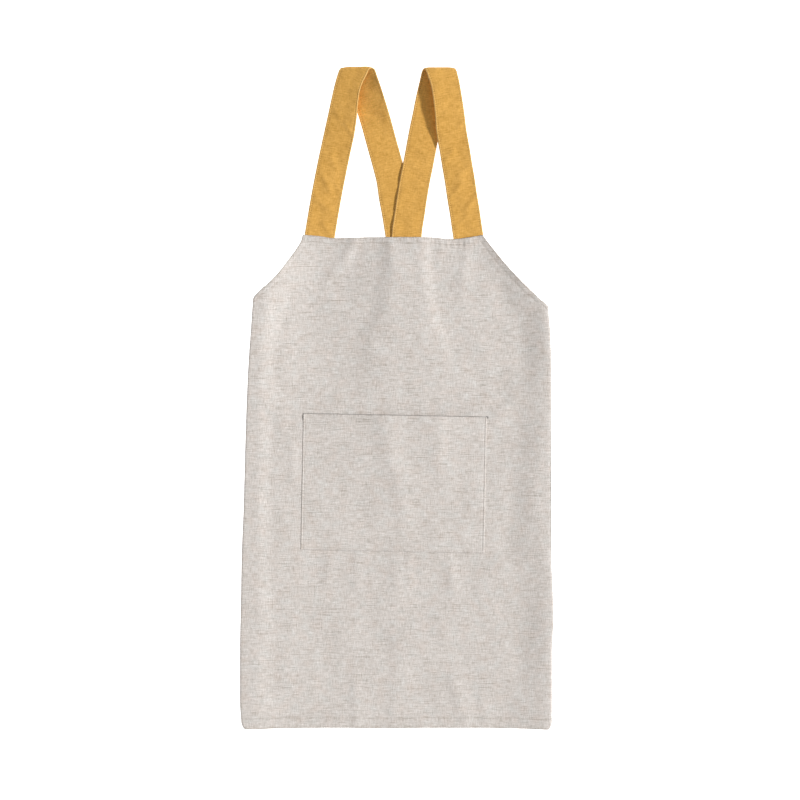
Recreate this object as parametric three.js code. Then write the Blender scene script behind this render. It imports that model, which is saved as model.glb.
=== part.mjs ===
// A canvas pinafore apron laid flat, front up: one body cloth whose sides fold under as two back wings,
// a patch pocket, and two shoulder straps that loop over and cross behind the bib.
// Millimetres, +Z up. +Y runs from the hem to the straps, and +X to the right of the front.
import * as THREE from 'three';

// Cloth walls
const CLOTH_WALL = 1.0;
const STRAP_WALL = 2.0;
const SEWN_GAP = 0.3;

// Heights of the middle of each layer over the floor
const WING_MID = CLOTH_WALL / 2;
const FRONT_MID = 3.4;

// Front of the body
const FRONT_COLUMNS = 36;
const SKIRT_ROWS = 22;
const BIB_ROWS = 9;
const FOLD_COLUMNS = 8;
const WING_COLUMNS = 4;
const WING_TOP_CURVE = 3.85;
const WING_HEM_RISE = 5;

// Each side: the ridge of the soft fold, which turns into the armhole's edge above corner.
// out is the ridge's distance from the middle, and rise its height over the flat of the front.
const LEFT_SIDE = {
  sign: -1,
  corner: 171,
  reach: 18,
  slope: 42,
  backTop: { x: 9, y: 84 },
  backHem: { x: -12 },
  ridge: [
    { y: -506, out: 219, rise: 6.0 },
    { y: -461, out: 221.5, rise: 6.8 },
    { y: -385, out: 221.5, rise: 7.4 },
    { y: -247, out: 219, rise: 8.0 },
    { y: -156, out: 215.5, rise: 8.3 },
    { y: -3, out: 211, rise: 8.8 },
    { y: 119, out: 205, rise: 9.0 },
    { y: 171, out: 203, rise: 8.4 },
    { y: 180, out: 192, rise: 8.0 },
    { y: 195, out: 177, rise: 7.2 },
    { y: 211, out: 165, rise: 5.8 },
    { y: 226, out: 154, rise: 4.0 },
    { y: 241, out: 145.5, rise: 1.8 },
    { y: 249, out: 143.4, rise: 0.8 },
  ],
};
const RIGHT_SIDE = {
  sign: 1,
  corner: 153,
  reach: 12,
  slope: 46,
  backTop: { x: 14, y: 84 },
  backHem: { x: 34 },
  ridge: [
    { y: -506, out: 221.5, rise: 6.0 },
    { y: -461, out: 223.5, rise: 7.0 },
    { y: -385, out: 225, rise: 7.8 },
    { y: -339, out: 227, rise: 8.2 },
    { y: -247, out: 224.5, rise: 8.2 },
    { y: -79, out: 223.5, rise: 8.6 },
    { y: 80, out: 223.5, rise: 9.0 },
    { y: 119, out: 220.5, rise: 9.2 },
    { y: 153, out: 215, rise: 9.2 },
    { y: 165, out: 203, rise: 8.8 },
    { y: 180, out: 188, rise: 8.2 },
    { y: 195, out: 174, rise: 7.2 },
    { y: 211, out: 160, rise: 5.6 },
    { y: 226, out: 148, rise: 3.8 },
    { y: 241, out: 136.5, rise: 1.8 },
    { y: 248.5, out: 133.5, rise: 0.8 },
  ],
};

// Top edge of the bib and the hem, by share of the way from the middle (0) to a side (-1 or 1)
const BIB_TOP = [
  { share: -1, y: 249 },
  { share: -0.82, y: 246.8 },
  { share: -0.66, y: 244 },
  { share: -0.28, y: 245.3 },
  { share: 0.34, y: 245.3 },
  { share: 0.64, y: 242.4 },
  { share: 0.82, y: 245 },
  { share: 1, y: 248.5 },
];
const HEM = [
  { share: -1, y: -505.4 },
  { share: -0.8, y: -504 },
  { share: -0.4, y: -503.4 },
  { share: -0.15, y: -504.6 },
  { share: 0.2, y: -503.5 },
  { share: 0.65, y: -503.5 },
  { share: 1, y: -506 },
];

// Soft creases of the front: a ridge from one end to the other, half its width, and its rise
const FRONT_CREASES = [
  { x0: -56, y0: 236, x1: -86, y1: 176, half: 10, rise: 1.6 },
  { x0: -106, y0: 206, x1: -104, y1: 150, half: 9, rise: 1.2 },
  { x0: -10, y0: -246, x1: -14, y1: -480, half: 8, rise: 0.9 },
  { x0: 26, y0: -240, x1: 34, y1: -292, half: 10, rise: 1.1 },
  { x0: 84, y0: -254, x1: 80, y1: -286, half: 10, rise: 0.9 },
  { x0: -58, y0: -446, x1: -60, y1: -496, half: 10, rise: 1.3 },
  { x0: 76, y0: -444, x1: 116, y1: -494, half: 10, rise: 1.4 },
  { x0: 152, y0: -14, x1: 182, y1: 28, half: 10, rise: 1.2 },
];

// Rise of the front over the straps that cross behind the bib
const BUNDLE_EDGE = 18;
const BUNDLE = [
  { y: 20, rise: 0 },
  { y: 48, rise: 1.0 },
  { y: 95, rise: 1.6 },
  { y: 114, rise: 2.6 },
  { y: 250, rise: 2.6 },
];

// Patch pocket
const POCKET = { x: -5, y: -130.3, width: 280, height: 207, turn: THREE.MathUtils.degToRad(-1.1) };
const POCKET_COLUMNS = 26;
const POCKET_ROWS = 14;
const POCKET_MOUTH = 3.0;
const POCKET_CREASES = [
  { x0: -34, y0: -20, x1: 10, y1: -140, half: 15, rise: 4.0 },
  { x0: 12, y0: -146, x1: -8, y1: -192, half: 13, rise: 1.4 },
];

// Shoulder straps: the middle line of the front run and of the back run, joined by a round bend at the top,
// and how steeply each run leans across
const STRAP_WIDTH = 46.4;
const STRAP_COLUMNS = 2;
const STRAP_STEP = 16;
const BEND_STEPS = 10;
const LEFT_STRAP = {
  front: [
    { y: 218, x: -122.9, z: 1.6, lean: 0 },
    { y: 259, x: -116.3, z: 1.7, lean: 0 },
    { y: 308, x: -107.9, z: 2.3, lean: 0 },
    { y: 357, x: -98.3, z: 3.6, lean: 0.02 },
    { y: 406, x: -87.6, z: 8.2, lean: 0.09 },
    { y: 430, x: -82.1, z: 12.6, lean: 0.13 },
    { y: 455, x: -76.6, z: 16.8, lean: 0.13 },
    { y: 479, x: -70.7, z: 19.2, lean: 0.13 },
    { y: 499.5, x: -65.5, z: 20, lean: 0.13 },
  ],
  back: [
    { y: 50, x: 48, z: 2.35, lean: 0 },
    { y: 86, x: 41.5, z: 2.35, lean: 0 },
    { y: 96, x: 39.5, z: 1.0, lean: 0 },
    { y: 114, x: 32.5, z: 1.0, lean: 0 },
    { y: 150, x: 20, z: 1.0, lean: 0 },
    { y: 200, x: 12.5, z: 1.0, lean: 0 },
    { y: 256, x: 4.2, z: 1.0, lean: 0 },
    { y: 308, x: -4.8, z: 1.0, lean: 0 },
    { y: 357, x: -14.3, z: 1.0, lean: 0 },
    { y: 394, x: -24.5, z: 1.0, lean: 0 },
    { y: 418, x: -31, z: 3.0, lean: 0.08 },
    { y: 440, x: -37.6, z: 5.8, lean: 0.2 },
    { y: 467, x: -46.2, z: 8.6, lean: 0.32 },
    { y: 499.5, x: -56, z: 10.9, lean: 0.42 },
  ],
};
const RIGHT_STRAP = {
  front: [
    { y: 218, x: 113.8, z: 1.6, lean: 0 },
    { y: 259, x: 107.2, z: 1.7, lean: 0 },
    { y: 308, x: 99.6, z: 2.5, lean: 0 },
    { y: 357, x: 91.8, z: 3.6, lean: 0 },
    { y: 382, x: 87.7, z: 5.0, lean: -0.02 },
    { y: 406, x: 83.3, z: 8.2, lean: -0.05 },
    { y: 430, x: 80.3, z: 12.4, lean: -0.06 },
    { y: 455, x: 76.5, z: 16, lean: -0.06 },
    { y: 479, x: 72.2, z: 17.7, lean: -0.05 },
    { y: 496.5, x: 68, z: 18, lean: -0.05 },
  ],
  back: [
    { y: 50, x: -26, z: 2.35, lean: 0 },
    { y: 86, x: -18.5, z: 2.35, lean: 0 },
    { y: 96, x: -16, z: 3.5, lean: 0 },
    { y: 114, x: -8, z: 3.5, lean: 0 },
    { y: 150, x: 5, z: 3.5, lean: 0 },
    { y: 200, x: 11.5, z: 3.5, lean: 0 },
    { y: 256, x: 15.5, z: 3.5, lean: 0 },
    { y: 308, x: 23.2, z: 3.5, lean: 0 },
    { y: 363, x: 33.5, z: 3.5, lean: 0 },
    { y: 392, x: 38.8, z: 1.0, lean: 0 },
    { y: 430, x: 46.5, z: 1.0, lean: 0 },
    { y: 455, x: 51.5, z: 2.0, lean: -0.04 },
    { y: 479, x: 57.1, z: 2.3, lean: -0.05 },
    { y: 496.5, x: 61, z: 2.3, lean: -0.05 },
  ],
};

// A table's column at a place along its key: smooth, with no overshoot between rows, level past the ends.
function read(rows, key, column, at) {
  const last = rows.length - 1;
  if (at <= rows[0][key]) {
    return rows[0][column];
  }
  if (at >= rows[last][key]) {
    return rows[last][column];
  }
  const i = rows.findIndex((row) => row[key] > at) - 1;
  const secant = (k) => (rows[k + 1][column] - rows[k][column]) / (rows[k + 1][key] - rows[k][key]);
  const tangent = (k) => {
    if (k === 0) {
      return secant(0);
    }
    if (k === last) {
      return secant(last - 1);
    }
    const before = secant(k - 1);
    const after = secant(k);
    return before * after <= 0 ? 0 : (2 * before * after) / (before + after);
  };
  const span = rows[i + 1][key] - rows[i][key];
  const t = (at - rows[i][key]) / span;
  const start = rows[i][column] * (1 + 2 * t) * (1 - t) ** 2;
  const end = rows[i + 1][column] * t * t * (3 - 2 * t);
  const leave = tangent(i) * span * t * (1 - t) ** 2;
  const arrive = tangent(i + 1) * span * t * t * (t - 1);
  return start + end + leave + arrive;
}

// Rise of a crease at a point: full along its line, and fading over half its width.
function crease(row, x, y) {
  const along = new THREE.Vector2(row.x1 - row.x0, row.y1 - row.y0);
  const from = new THREE.Vector2(x - row.x0, y - row.y0);
  const t = THREE.MathUtils.clamp(from.dot(along) / along.lengthSq(), 0, 1);
  const away = from.addScaledVector(along, -t).length();
  return row.rise * Math.exp(-((away / row.half) ** 2));
}

// Rise of the front over the straps behind it.
function bundle(x, y) {
  const left = read(LEFT_STRAP.back, 'y', 'x', y);
  const right = read(RIGHT_STRAP.back, 'y', 'x', y);
  const from = Math.min(left, right) - STRAP_WIDTH / 2;
  const to = Math.max(left, right) + STRAP_WIDTH / 2;
  const outside = Math.max(from - x, x - to);
  return read(BUNDLE, 'y', 'rise', y) * (1 - THREE.MathUtils.smoothstep(outside, 2, BUNDLE_EDGE));
}

// Rise of the front beside a soft side fold: highest on its ridge, gone one slope further in.
function sideRise(side, x, y) {
  const inward = read(side.ridge, 'y', 'out', y) - side.sign * x;
  const t = THREE.MathUtils.clamp(inward / side.slope, 0, 1);
  return read(side.ridge, 'y', 'rise', y) * (1 + Math.cos(Math.PI * t)) / 2;
}

// Height of the middle of the front cloth.
function frontHeight(x, y) {
  const creases = FRONT_CREASES.reduce((sum, row) => sum + crease(row, x, y), 0);
  return FRONT_MID + sideRise(LEFT_SIDE, x, y) + sideRise(RIGHT_SIDE, x, y) + bundle(x, y) + creases;
}

// A closed cloth wall over a grid: both faces, and a rim wherever the grid ends.
// rowsOf has the number of grid points in each column, and place(column, row, face) is a point of
// the outer face (1) or the inner face (-1).
function clothWall(rowsOf, place) {
  const points = [];
  const first = [];
  rowsOf.forEach((rows, column) => {
    first.push(points.length);
    for (let row = 0; row < rows; row += 1) {
      points.push(place(column, row, 1), place(column, row, -1));
    }
  });
  const outer = (column, row) => first[column] + 2 * row;
  const index = [];
  const edges = new Map();
  for (let column = 0; column + 1 < rowsOf.length; column += 1) {
    const rows = Math.min(rowsOf[column], rowsOf[column + 1]);
    for (let row = 0; row + 1 < rows; row += 1) {
      const a = outer(column, row);
      const b = outer(column + 1, row);
      const c = outer(column + 1, row + 1);
      const d = outer(column, row + 1);
      index.push(a, b, c, a, c, d);
      index.push(a + 1, c + 1, b + 1, a + 1, d + 1, c + 1);
      [[a, b], [b, c], [c, d], [d, a]].forEach(([p, q]) => edges.set(`${p} ${q}`, [p, q]));
    }
  }
  edges.forEach(([p, q]) => {
    if (!edges.has(`${q} ${p}`)) {
      index.push(p + 1, q + 1, q, p + 1, q, p);
    }
  });
  return new THREE.BufferGeometry().setFromPoints(points).setIndex(index);
}

// A point of the soft fold: turn 0 is its ridge on the front and turn pi its inner end on the wing.
function foldPoint(side, turn, y, face) {
  const out = read(side.ridge, 'y', 'out', y);
  const half = (frontHeight(side.sign * out, y) - WING_MID) / 2;
  const normal = new THREE.Vector3(side.sign * Math.sin(turn) / side.reach, 0, Math.cos(turn) / half);
  const x = side.sign * (out + side.reach * Math.sin(turn));
  const z = WING_MID + half * (1 + Math.cos(turn));
  return new THREE.Vector3(x, y, z).addScaledVector(normal.normalize(), face * CLOTH_WALL / 2);
}

// The columns of one side, from the ridge round the fold and in to the wing's back edge.
function sideColumns(side) {
  const columns = [];
  for (let i = 1; i <= FOLD_COLUMNS; i += 1) {
    columns.push({ side, turn: Math.PI * i / FOLD_COLUMNS, inward: 0 });
  }
  for (let i = 1; i <= WING_COLUMNS; i += 1) {
    columns.push({ side, turn: Math.PI, inward: i / WING_COLUMNS });
  }
  return columns;
}

// A point of a side's fold or wing, at a share of the way from the hem to the wing's top edge.
function sidePoint({ side, turn, inward }, upward, face) {
  const ridge = read(side.ridge, 'y', 'out', side.corner);
  const foldLength = 2.3 * side.reach;
  const wingLength = Math.abs(side.sign * ridge - side.backTop.x);
  const away = (foldLength * turn / Math.PI + wingLength * inward) / (foldLength + wingLength);
  const top = side.backTop.y + (side.corner - side.backTop.y) * (1 - away) ** WING_TOP_CURVE;
  const hem = read(HEM, 'share', 'y', side.sign) + WING_HEM_RISE * inward;
  const y = THREE.MathUtils.lerp(hem, top, upward);
  const point = foldPoint(side, turn, y, face);
  const backEdge = THREE.MathUtils.lerp(side.backHem.x, side.backTop.x, upward);
  point.x = THREE.MathUtils.lerp(point.x, backEdge, inward);
  return point;
}

// A point of the front, at a share across from the middle to a side, on a row line.
function frontPoint(share, row, face) {
  const hem = read(HEM, 'share', 'y', share);
  const corner = THREE.MathUtils.lerp(LEFT_SIDE.corner, RIGHT_SIDE.corner, (share + 1) / 2);
  const top = read(BIB_TOP, 'share', 'y', share);
  const y = row <= SKIRT_ROWS
    ? THREE.MathUtils.lerp(hem, corner, row / SKIRT_ROWS)
    : THREE.MathUtils.lerp(corner, top, (row - SKIRT_ROWS) / BIB_ROWS);
  const side = share < 0 ? LEFT_SIDE : RIGHT_SIDE;
  const x = share * read(side.ridge, 'y', 'out', y);
  return new THREE.Vector3(x, y, frontHeight(x, y) + face * CLOTH_WALL / 2);
}

function makeBody() {
  const left = sideColumns(LEFT_SIDE).reverse();
  const right = sideColumns(RIGHT_SIDE);
  const front = [];
  for (let i = 0; i <= FRONT_COLUMNS; i += 1) {
    front.push({ share: -1 + 2 * i / FRONT_COLUMNS });
  }
  const columns = [...left, ...front, ...right];
  const rowsOf = columns.map((column) => SKIRT_ROWS + 1 + (column.side ? 0 : BIB_ROWS));
  return clothWall(rowsOf, (i, row, face) => {
    const column = columns[i];
    return column.side ? sidePoint(column, row / SKIRT_ROWS, face) : frontPoint(column.share, row, face);
  });
}

// Slack of the pocket over the front: none at its sewn sides and bottom, most at the mouth's crease.
function pocketSlack(across, upward, x, y) {
  const sewn = (1 - across ** 4) * THREE.MathUtils.smoothstep(upward, 0, 0.4);
  const creases = POCKET_CREASES.reduce((sum, row) => sum + crease(row, x, y), 0);
  return sewn * (POCKET_MOUTH * (1 - across ** 2) * upward ** 3 + creases + 0.5);
}

function makePocket() {
  const rowsOf = new Array(POCKET_COLUMNS + 1).fill(POCKET_ROWS + 1);
  return clothWall(rowsOf, (column, row, face) => {
    const across = -1 + 2 * column / POCKET_COLUMNS;
    const upward = row / POCKET_ROWS;
    const flat = new THREE.Vector2(across * POCKET.width / 2, (upward - 0.5) * POCKET.height);
    const { x, y } = flat.rotateAround(new THREE.Vector2(), POCKET.turn).add(POCKET);
    const seat = frontHeight(x, y) + CLOTH_WALL + SEWN_GAP;
    const z = seat + pocketSlack(across, upward, x, y) + face * CLOTH_WALL / 2;
    return new THREE.Vector3(x, y, z);
  });
}

// The strap as a flat ribbon: its length runs up the front, round the bend and down the back.
function strapRuns(strap) {
  const front = strap.front[strap.front.length - 1];
  const back = strap.back[strap.back.length - 1];
  const radius = (front.z - back.z) / 2;
  const bendEnd = front.y + Math.PI * radius;
  return { front, back, radius, bendEnd, end: bendEnd + back.y - strap.back[0].y };
}

// How far across the apron the strap's middle is, at a length along the ribbon.
function strapAcross(strap, length) {
  const { front, back, bendEnd } = strapRuns(strap);
  if (length <= front.y) {
    return read(strap.front, 'y', 'x', length);
  }
  if (length >= bendEnd) {
    return read(strap.back, 'y', 'x', back.y - (length - bendEnd));
  }
  return THREE.MathUtils.mapLinear(length, front.y, bendEnd, front.x, back.x);
}

// Where a length along the ribbon lies, up the apron and over the floor, on its outer or inner face.
function strapProfile(strap, length, face) {
  const { front, back, radius, bendEnd } = strapRuns(strap);
  const wall = face * STRAP_WALL / 2;
  if (length <= front.y) {
    return { y: length, z: read(strap.front, 'y', 'z', length) + wall };
  }
  if (length >= bendEnd) {
    const y = back.y - (length - bendEnd);
    return { y, z: read(strap.back, 'y', 'z', y) - wall };
  }
  const turn = (length - front.y) / radius;
  const y = front.y + (radius + wall) * Math.sin(turn);
  return { y, z: back.z + radius + (radius + wall) * Math.cos(turn) };
}

// How steeply the ribbon leans across, going evenly from the front run's to the back run's round the bend.
function strapLean(strap, length) {
  const { front, back, bendEnd } = strapRuns(strap);
  if (length <= front.y) {
    return read(strap.front, 'y', 'lean', length);
  }
  if (length >= bendEnd) {
    return read(strap.back, 'y', 'lean', back.y - (length - bendEnd));
  }
  return THREE.MathUtils.mapLinear(length, front.y, bendEnd, front.lean, back.lean);
}

// Lengths at which the strap has a row of points.
function strapRows(strap) {
  const { front, radius, bendEnd, end } = strapRuns(strap);
  const start = strap.front[0].y;
  const rows = [];
  const frontSteps = Math.ceil((front.y - start) / STRAP_STEP);
  for (let i = 0; i < frontSteps; i += 1) {
    rows.push(THREE.MathUtils.lerp(start, front.y, i / frontSteps));
  }
  for (let i = 0; i < BEND_STEPS; i += 1) {
    rows.push(front.y + Math.PI * radius * i / BEND_STEPS);
  }
  const backSteps = Math.ceil((end - bendEnd) / STRAP_STEP);
  for (let i = 0; i <= backSteps; i += 1) {
    rows.push(THREE.MathUtils.lerp(bendEnd, end, i / backSteps));
  }
  return rows;
}

function makeStrap(strap) {
  const rows = strapRows(strap);
  const rowsOf = new Array(STRAP_COLUMNS + 1).fill(rows.length);
  return clothWall(rowsOf, (column, row, face) => {
    const sideways = STRAP_WIDTH * (column / STRAP_COLUMNS - 0.5);
    const heading = strapAcross(strap, rows[row] + 1) - strapAcross(strap, rows[row] - 1);
    const across = new THREE.Vector2(2, -heading).normalize().multiplyScalar(sideways);
    const along = rows[row] + across.y;
    const { y, z } = strapProfile(strap, along, face);
    const lift = strapLean(strap, along) * sideways;
    return new THREE.Vector3(strapAcross(strap, rows[row]) + across.x, y, z + lift);
  });
}

const apron = new THREE.Group();

function addPiece(name, geometry, color) {
  const piece = new THREE.Mesh(geometry, new THREE.MeshStandardMaterial({ color, roughness: 0.9 }));
  piece.name = name;
  apron.add(piece);
}

addPiece('apron_body', makeBody(), 0xd3ccc6);
addPiece('front_pocket', makePocket(), 0xd3ccc6);
addPiece('shoulder_strap_left', makeStrap(LEFT_STRAP), 0xd6a557);
addPiece('shoulder_strap_right', makeStrap(RIGHT_STRAP), 0xd6a557);

export default apron;
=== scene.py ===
"""A canvas pinafore apron laid flat, front up: body cloth, patch pocket, looped straps and their stitching.

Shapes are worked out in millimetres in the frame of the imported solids: +Z up, +Y from the hem to the straps
and +X to the right of the front. They become metres when a mesh is made.
"""
from math import pi, radians
from types import SimpleNamespace

import bpy
import numpy as np
from bpy.props import FloatProperty, FloatVectorProperty, IntProperty, PointerProperty
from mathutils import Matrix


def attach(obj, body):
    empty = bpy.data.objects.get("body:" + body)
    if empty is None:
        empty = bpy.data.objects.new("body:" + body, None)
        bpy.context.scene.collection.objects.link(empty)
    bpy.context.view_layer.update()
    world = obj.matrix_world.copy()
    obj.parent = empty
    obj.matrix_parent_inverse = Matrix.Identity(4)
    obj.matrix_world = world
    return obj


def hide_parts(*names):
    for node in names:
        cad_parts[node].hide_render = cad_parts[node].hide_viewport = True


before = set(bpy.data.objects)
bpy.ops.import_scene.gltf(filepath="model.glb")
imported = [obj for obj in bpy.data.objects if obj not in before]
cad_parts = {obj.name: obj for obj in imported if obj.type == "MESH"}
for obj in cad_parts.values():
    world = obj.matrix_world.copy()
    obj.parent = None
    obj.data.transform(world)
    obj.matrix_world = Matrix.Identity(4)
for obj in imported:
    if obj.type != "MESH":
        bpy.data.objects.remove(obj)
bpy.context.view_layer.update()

bl_info = {
    "name": "Canvas apron",
    "version": (1, 0, 0),
    "blender": (4, 5, 0),
    "location": "3D View > Sidebar > Apron",
    "description": "Makes a pinafore apron of heathered canvas with mustard cross-back straps, laid flat",
    "category": "Add Mesh",
}

MM = 0.001


def table(columns, *rows):
    """A table as one array for each named column."""
    return dict(zip(columns.split(), np.array(rows, dtype=float).T))


# Height of the middle of the wings and of the flat of the front over the floor, and the gap at a sewn seam
WING_MID = 0.945
FRONT_MID = 3.8
SEWN_GAP = 0.02

# The two sides: the ridge of the soft fold, which turns into the armhole's edge above the corner.
# corner is that height, and back_top and back_hem are where the wing's back edge lies across. out is
# the ridge's distance from the middle, reach how far the fold rolls past it, rise its height over the flat of
# the front, and slope how far in the front comes down from it. broad is the share of the rise that comes down
# over a longer way, and steep the share that is steepest at the ridge. A higher square makes the fold flatter
# above and below.
LEFT_SIDE = SimpleNamespace(
    sign=-1,
    corner=166,
    back_top=9,
    back_hem=-12,
    broad=0.52,
    steep=0,
    square=12,
    ridge=table(
        "y out reach rise slope",
        (-506, 215, 17, 4.0, 34),
        (-501, 215, 20.5, 4.0, 34),
        (-494, 215.2, 22.3, 4.0, 34),
        (-461, 215.5, 24, 3.9, 30),
        (-385, 215.5, 24, 3.4, 36),
        (-320, 215.3, 23, 3.7, 28),
        (-247, 215, 22, 4.3, 26),
        (-156, 215, 18.5, 5.3, 26),
        (-60, 214.5, 16.5, 5.6, 27),
        (-3, 214, 15, 5.8, 34),
        (54, 213.5, 12.8, 7.4, 32),
        (119, 212, 9.6, 10.8, 42),
        (145, 210.4, 9.2, 11.2, 52),
        (166, 206, 11.5, 11.4, 58),
        (171, 200.3, 12, 11.2, 58),
        (180, 190.3, 12, 10.4, 56),
        (195, 176.8, 12, 8.4, 52),
        (211, 165, 18, 5.8, 46),
        (226, 154, 18, 3.7, 42),
        (241, 145.5, 18, 1.8, 42),
        (249, 143.4, 18, 0.8, 42),
    ),
)
RIGHT_SIDE = SimpleNamespace(
    sign=1,
    corner=153,
    back_top=14,
    back_hem=34,
    broad=0,
    steep=0.4,
    square=5,
    ridge=table(
        "y out reach rise slope",
        (-506, 227, 4.5, 4.3, 76),
        (-501, 227, 8, 4.3, 76),
        (-494, 227, 9.5, 4.3, 74),
        (-449, 228, 8.5, 4.0, 58),
        (-388, 227, 9.5, 4.6, 46),
        (-339, 231, 8, 4.2, 52),
        (-266, 226.5, 10, 3.8, 50),
        (-205, 218, 18, 3.6, 52),
        (-160, 217, 19, 3.8, 50),
        (-106, 216, 19.5, 3.6, 48),
        (-60, 221, 14.5, 3.6, 50),
        (8, 227.5, 8, 4.2, 50),
        (54, 227.5, 8, 4.9, 42),
        (100, 226, 8, 5.9, 40),
        (119, 224.5, 8, 5.8, 42),
        (153, 215, 12, 5.6, 50),
        (165, 203, 12, 5.0, 48),
        (180, 188, 12, 4.2, 46),
        (195, 174, 12, 3.8, 44),
        (211, 160, 12, 3.4, 44),
        (226, 148, 12, 2.6, 44),
        (241, 136.3, 12, 1.4, 44),
        (248.5, 131, 12, 0.8, 44),
    ),
)
BROAD_SLOPE = table("y way", (-260, 100), (-200, 160), (-50, 160), (10, 100))

# Cloth round a fold as a multiple of its reach, and the share of its columns that is spaced by how far out
# they are
FOLD_LENGTH = 2.3
FOLD_SPREAD = 0.85

# Top edge of a wing at its back, the power of its curve, and how much the wing's hem rises to its back
WING_TOP = 84
WING_TOP_CURVE = 3.85
WING_HEM_RISE = 5

# Lip of an armhole: the way over which it begins, the power of its curve and its rise
LIP_BLEND = 30
LIP_CURVE = 1.5
LIP_RISE = 0.8

# Level of the front across the apron, and the share of it that is left towards the hem
LEVEL = table(
    "x rise",
    (-200, 0),
    (-120, -1.2),
    (-90, -0.9),
    (-45, 0.4),
    (-5, 1.7),
    (40, 1.0),
    (90, 0.2),
    (176, -1.2),
    (230, -1.2),
)
LEVEL_LOW = table("y share", (-330, 0.1), (-120, 0.2), (-15, 0.3), (40, 1))

# Top edge of the bib and the hem, by share of the way from the middle (0) to a side (-1 or 1)
BIB_TOP = table(
    "share y",
    (-1, 249),
    (-0.82, 246.8),
    (-0.66, 244),
    (-0.28, 245.3),
    (0.34, 245.3),
    (0.64, 242.4),
    (0.82, 245),
    (1, 248.5),
)
HEM = table(
    "share y",
    (-1, -505.4),
    (-0.8, -504),
    (-0.4, -503.4),
    (-0.15, -504.6),
    (0.2, -503.5),
    (0.65, -503.5),
    (1, -506),
)

# Soft creases of the front and of the pocket: a ridge between two ends, half its width on its left and on
# its right, and its rise
FRONT_CREASES = table(
    "x0 y0 x1 y1 left right rise",
    (-66, 238, -80, 212, 9, 9, 1.7),
    (-9, 236, -9, 204, 9, 8, 0.8),
    (-80, 212, -108, 178, 9, 10, 1.1),
    (110, 238, 100, 176, 8, 9, 0.9),
    (66, 240, 64, 200, 5, 6, 0.5),
    (0, -216, -2, -496, 9, 24, 0.6),
    (16, -236, 18, -285, 7, 9, 0.8),
    (80, -238, 84, -290, 8, 9, 0.8),
    (-104, -238, -106, -280, 7, 8, 0.6),
    (-62, -240, -62, -284, 7, 8, 0.6),
    (-64, -420, -62, -500, 8, 9, 0.8),
    (84, -430, 106, -502, 8, 9, 0.9),
    (128, -452, 138, -502, 7, 7, 0.7),
    (150, -36, 182, 2, 8, 8, 0.9),
    (-158, -70, -158, -120, 6, 6, 0.5),
)
POCKET_CREASES = table(
    "x0 y0 x1 y1 left right rise",
    (-22, -26, -8, -84, 18, 20, 1.8),
    (-8, -84, 6, -133, 16, 18, 1.8),
    (6, -133, 10, -192, 18, 22, 1.2),
    (67, -30, 66, -80, 20, 9, 1.4),
)

# Rise of the front over the straps that cross behind the bib, and from where to where past their two edges
# it goes away
BUNDLE_LEFT = (-9, 24)
BUNDLE_RIGHT = (-1, 21)
BUNDLE = table("y rise", (20, 0), (48, 0.9), (95, 2.0), (120, 2.7), (250, 2.7))

# Patch pocket: its middle, size and turn, the gape of its mouth, its least slack and the share of its height
# over which that begins, and the lump of its left tack with its half width and distance below the mouth
POCKET = SimpleNamespace(
    x=-5,
    y=-130.3,
    width=280,
    height=207,
    turn=radians(-1.1),
    mouth=4.4,
    slack=0.5,
    slack_begins=0.4,
    tack=0.8,
    tack_half=5,
    tack_below=4,
)

# Painted shade round the pocket: share of the painted edge shade at its left and right side. The painted
# shade line on the front, where the pocket's edges and the gap of its mouth cast shade, is given by how far
# in it lies on the left, and on the right, where it is hidden, from where to where it fades, the stretch
# below the mouth where it grows darker, and a dark spot at the mouth's right end with its place past the
# corner.
POCKET_SHADE = (0.33, 0.04)
POCKET_SHADE_LINE = SimpleNamespace(
    inset=0.8,
    hidden=3.2,
    fade=(0.9, 1.8),
    shade=0.14,
    mouth_below=(12, 4),
    mouth_shade=0.28,
    end_spot_past=0.6,
    end_spot_fade=(1.2, 3.0),
    end_spot_shade=0.6,
)

# Where the pocket was cut from the cloth, away from where it is sewn on
POCKET_CUT = (-700, 40)

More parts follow.
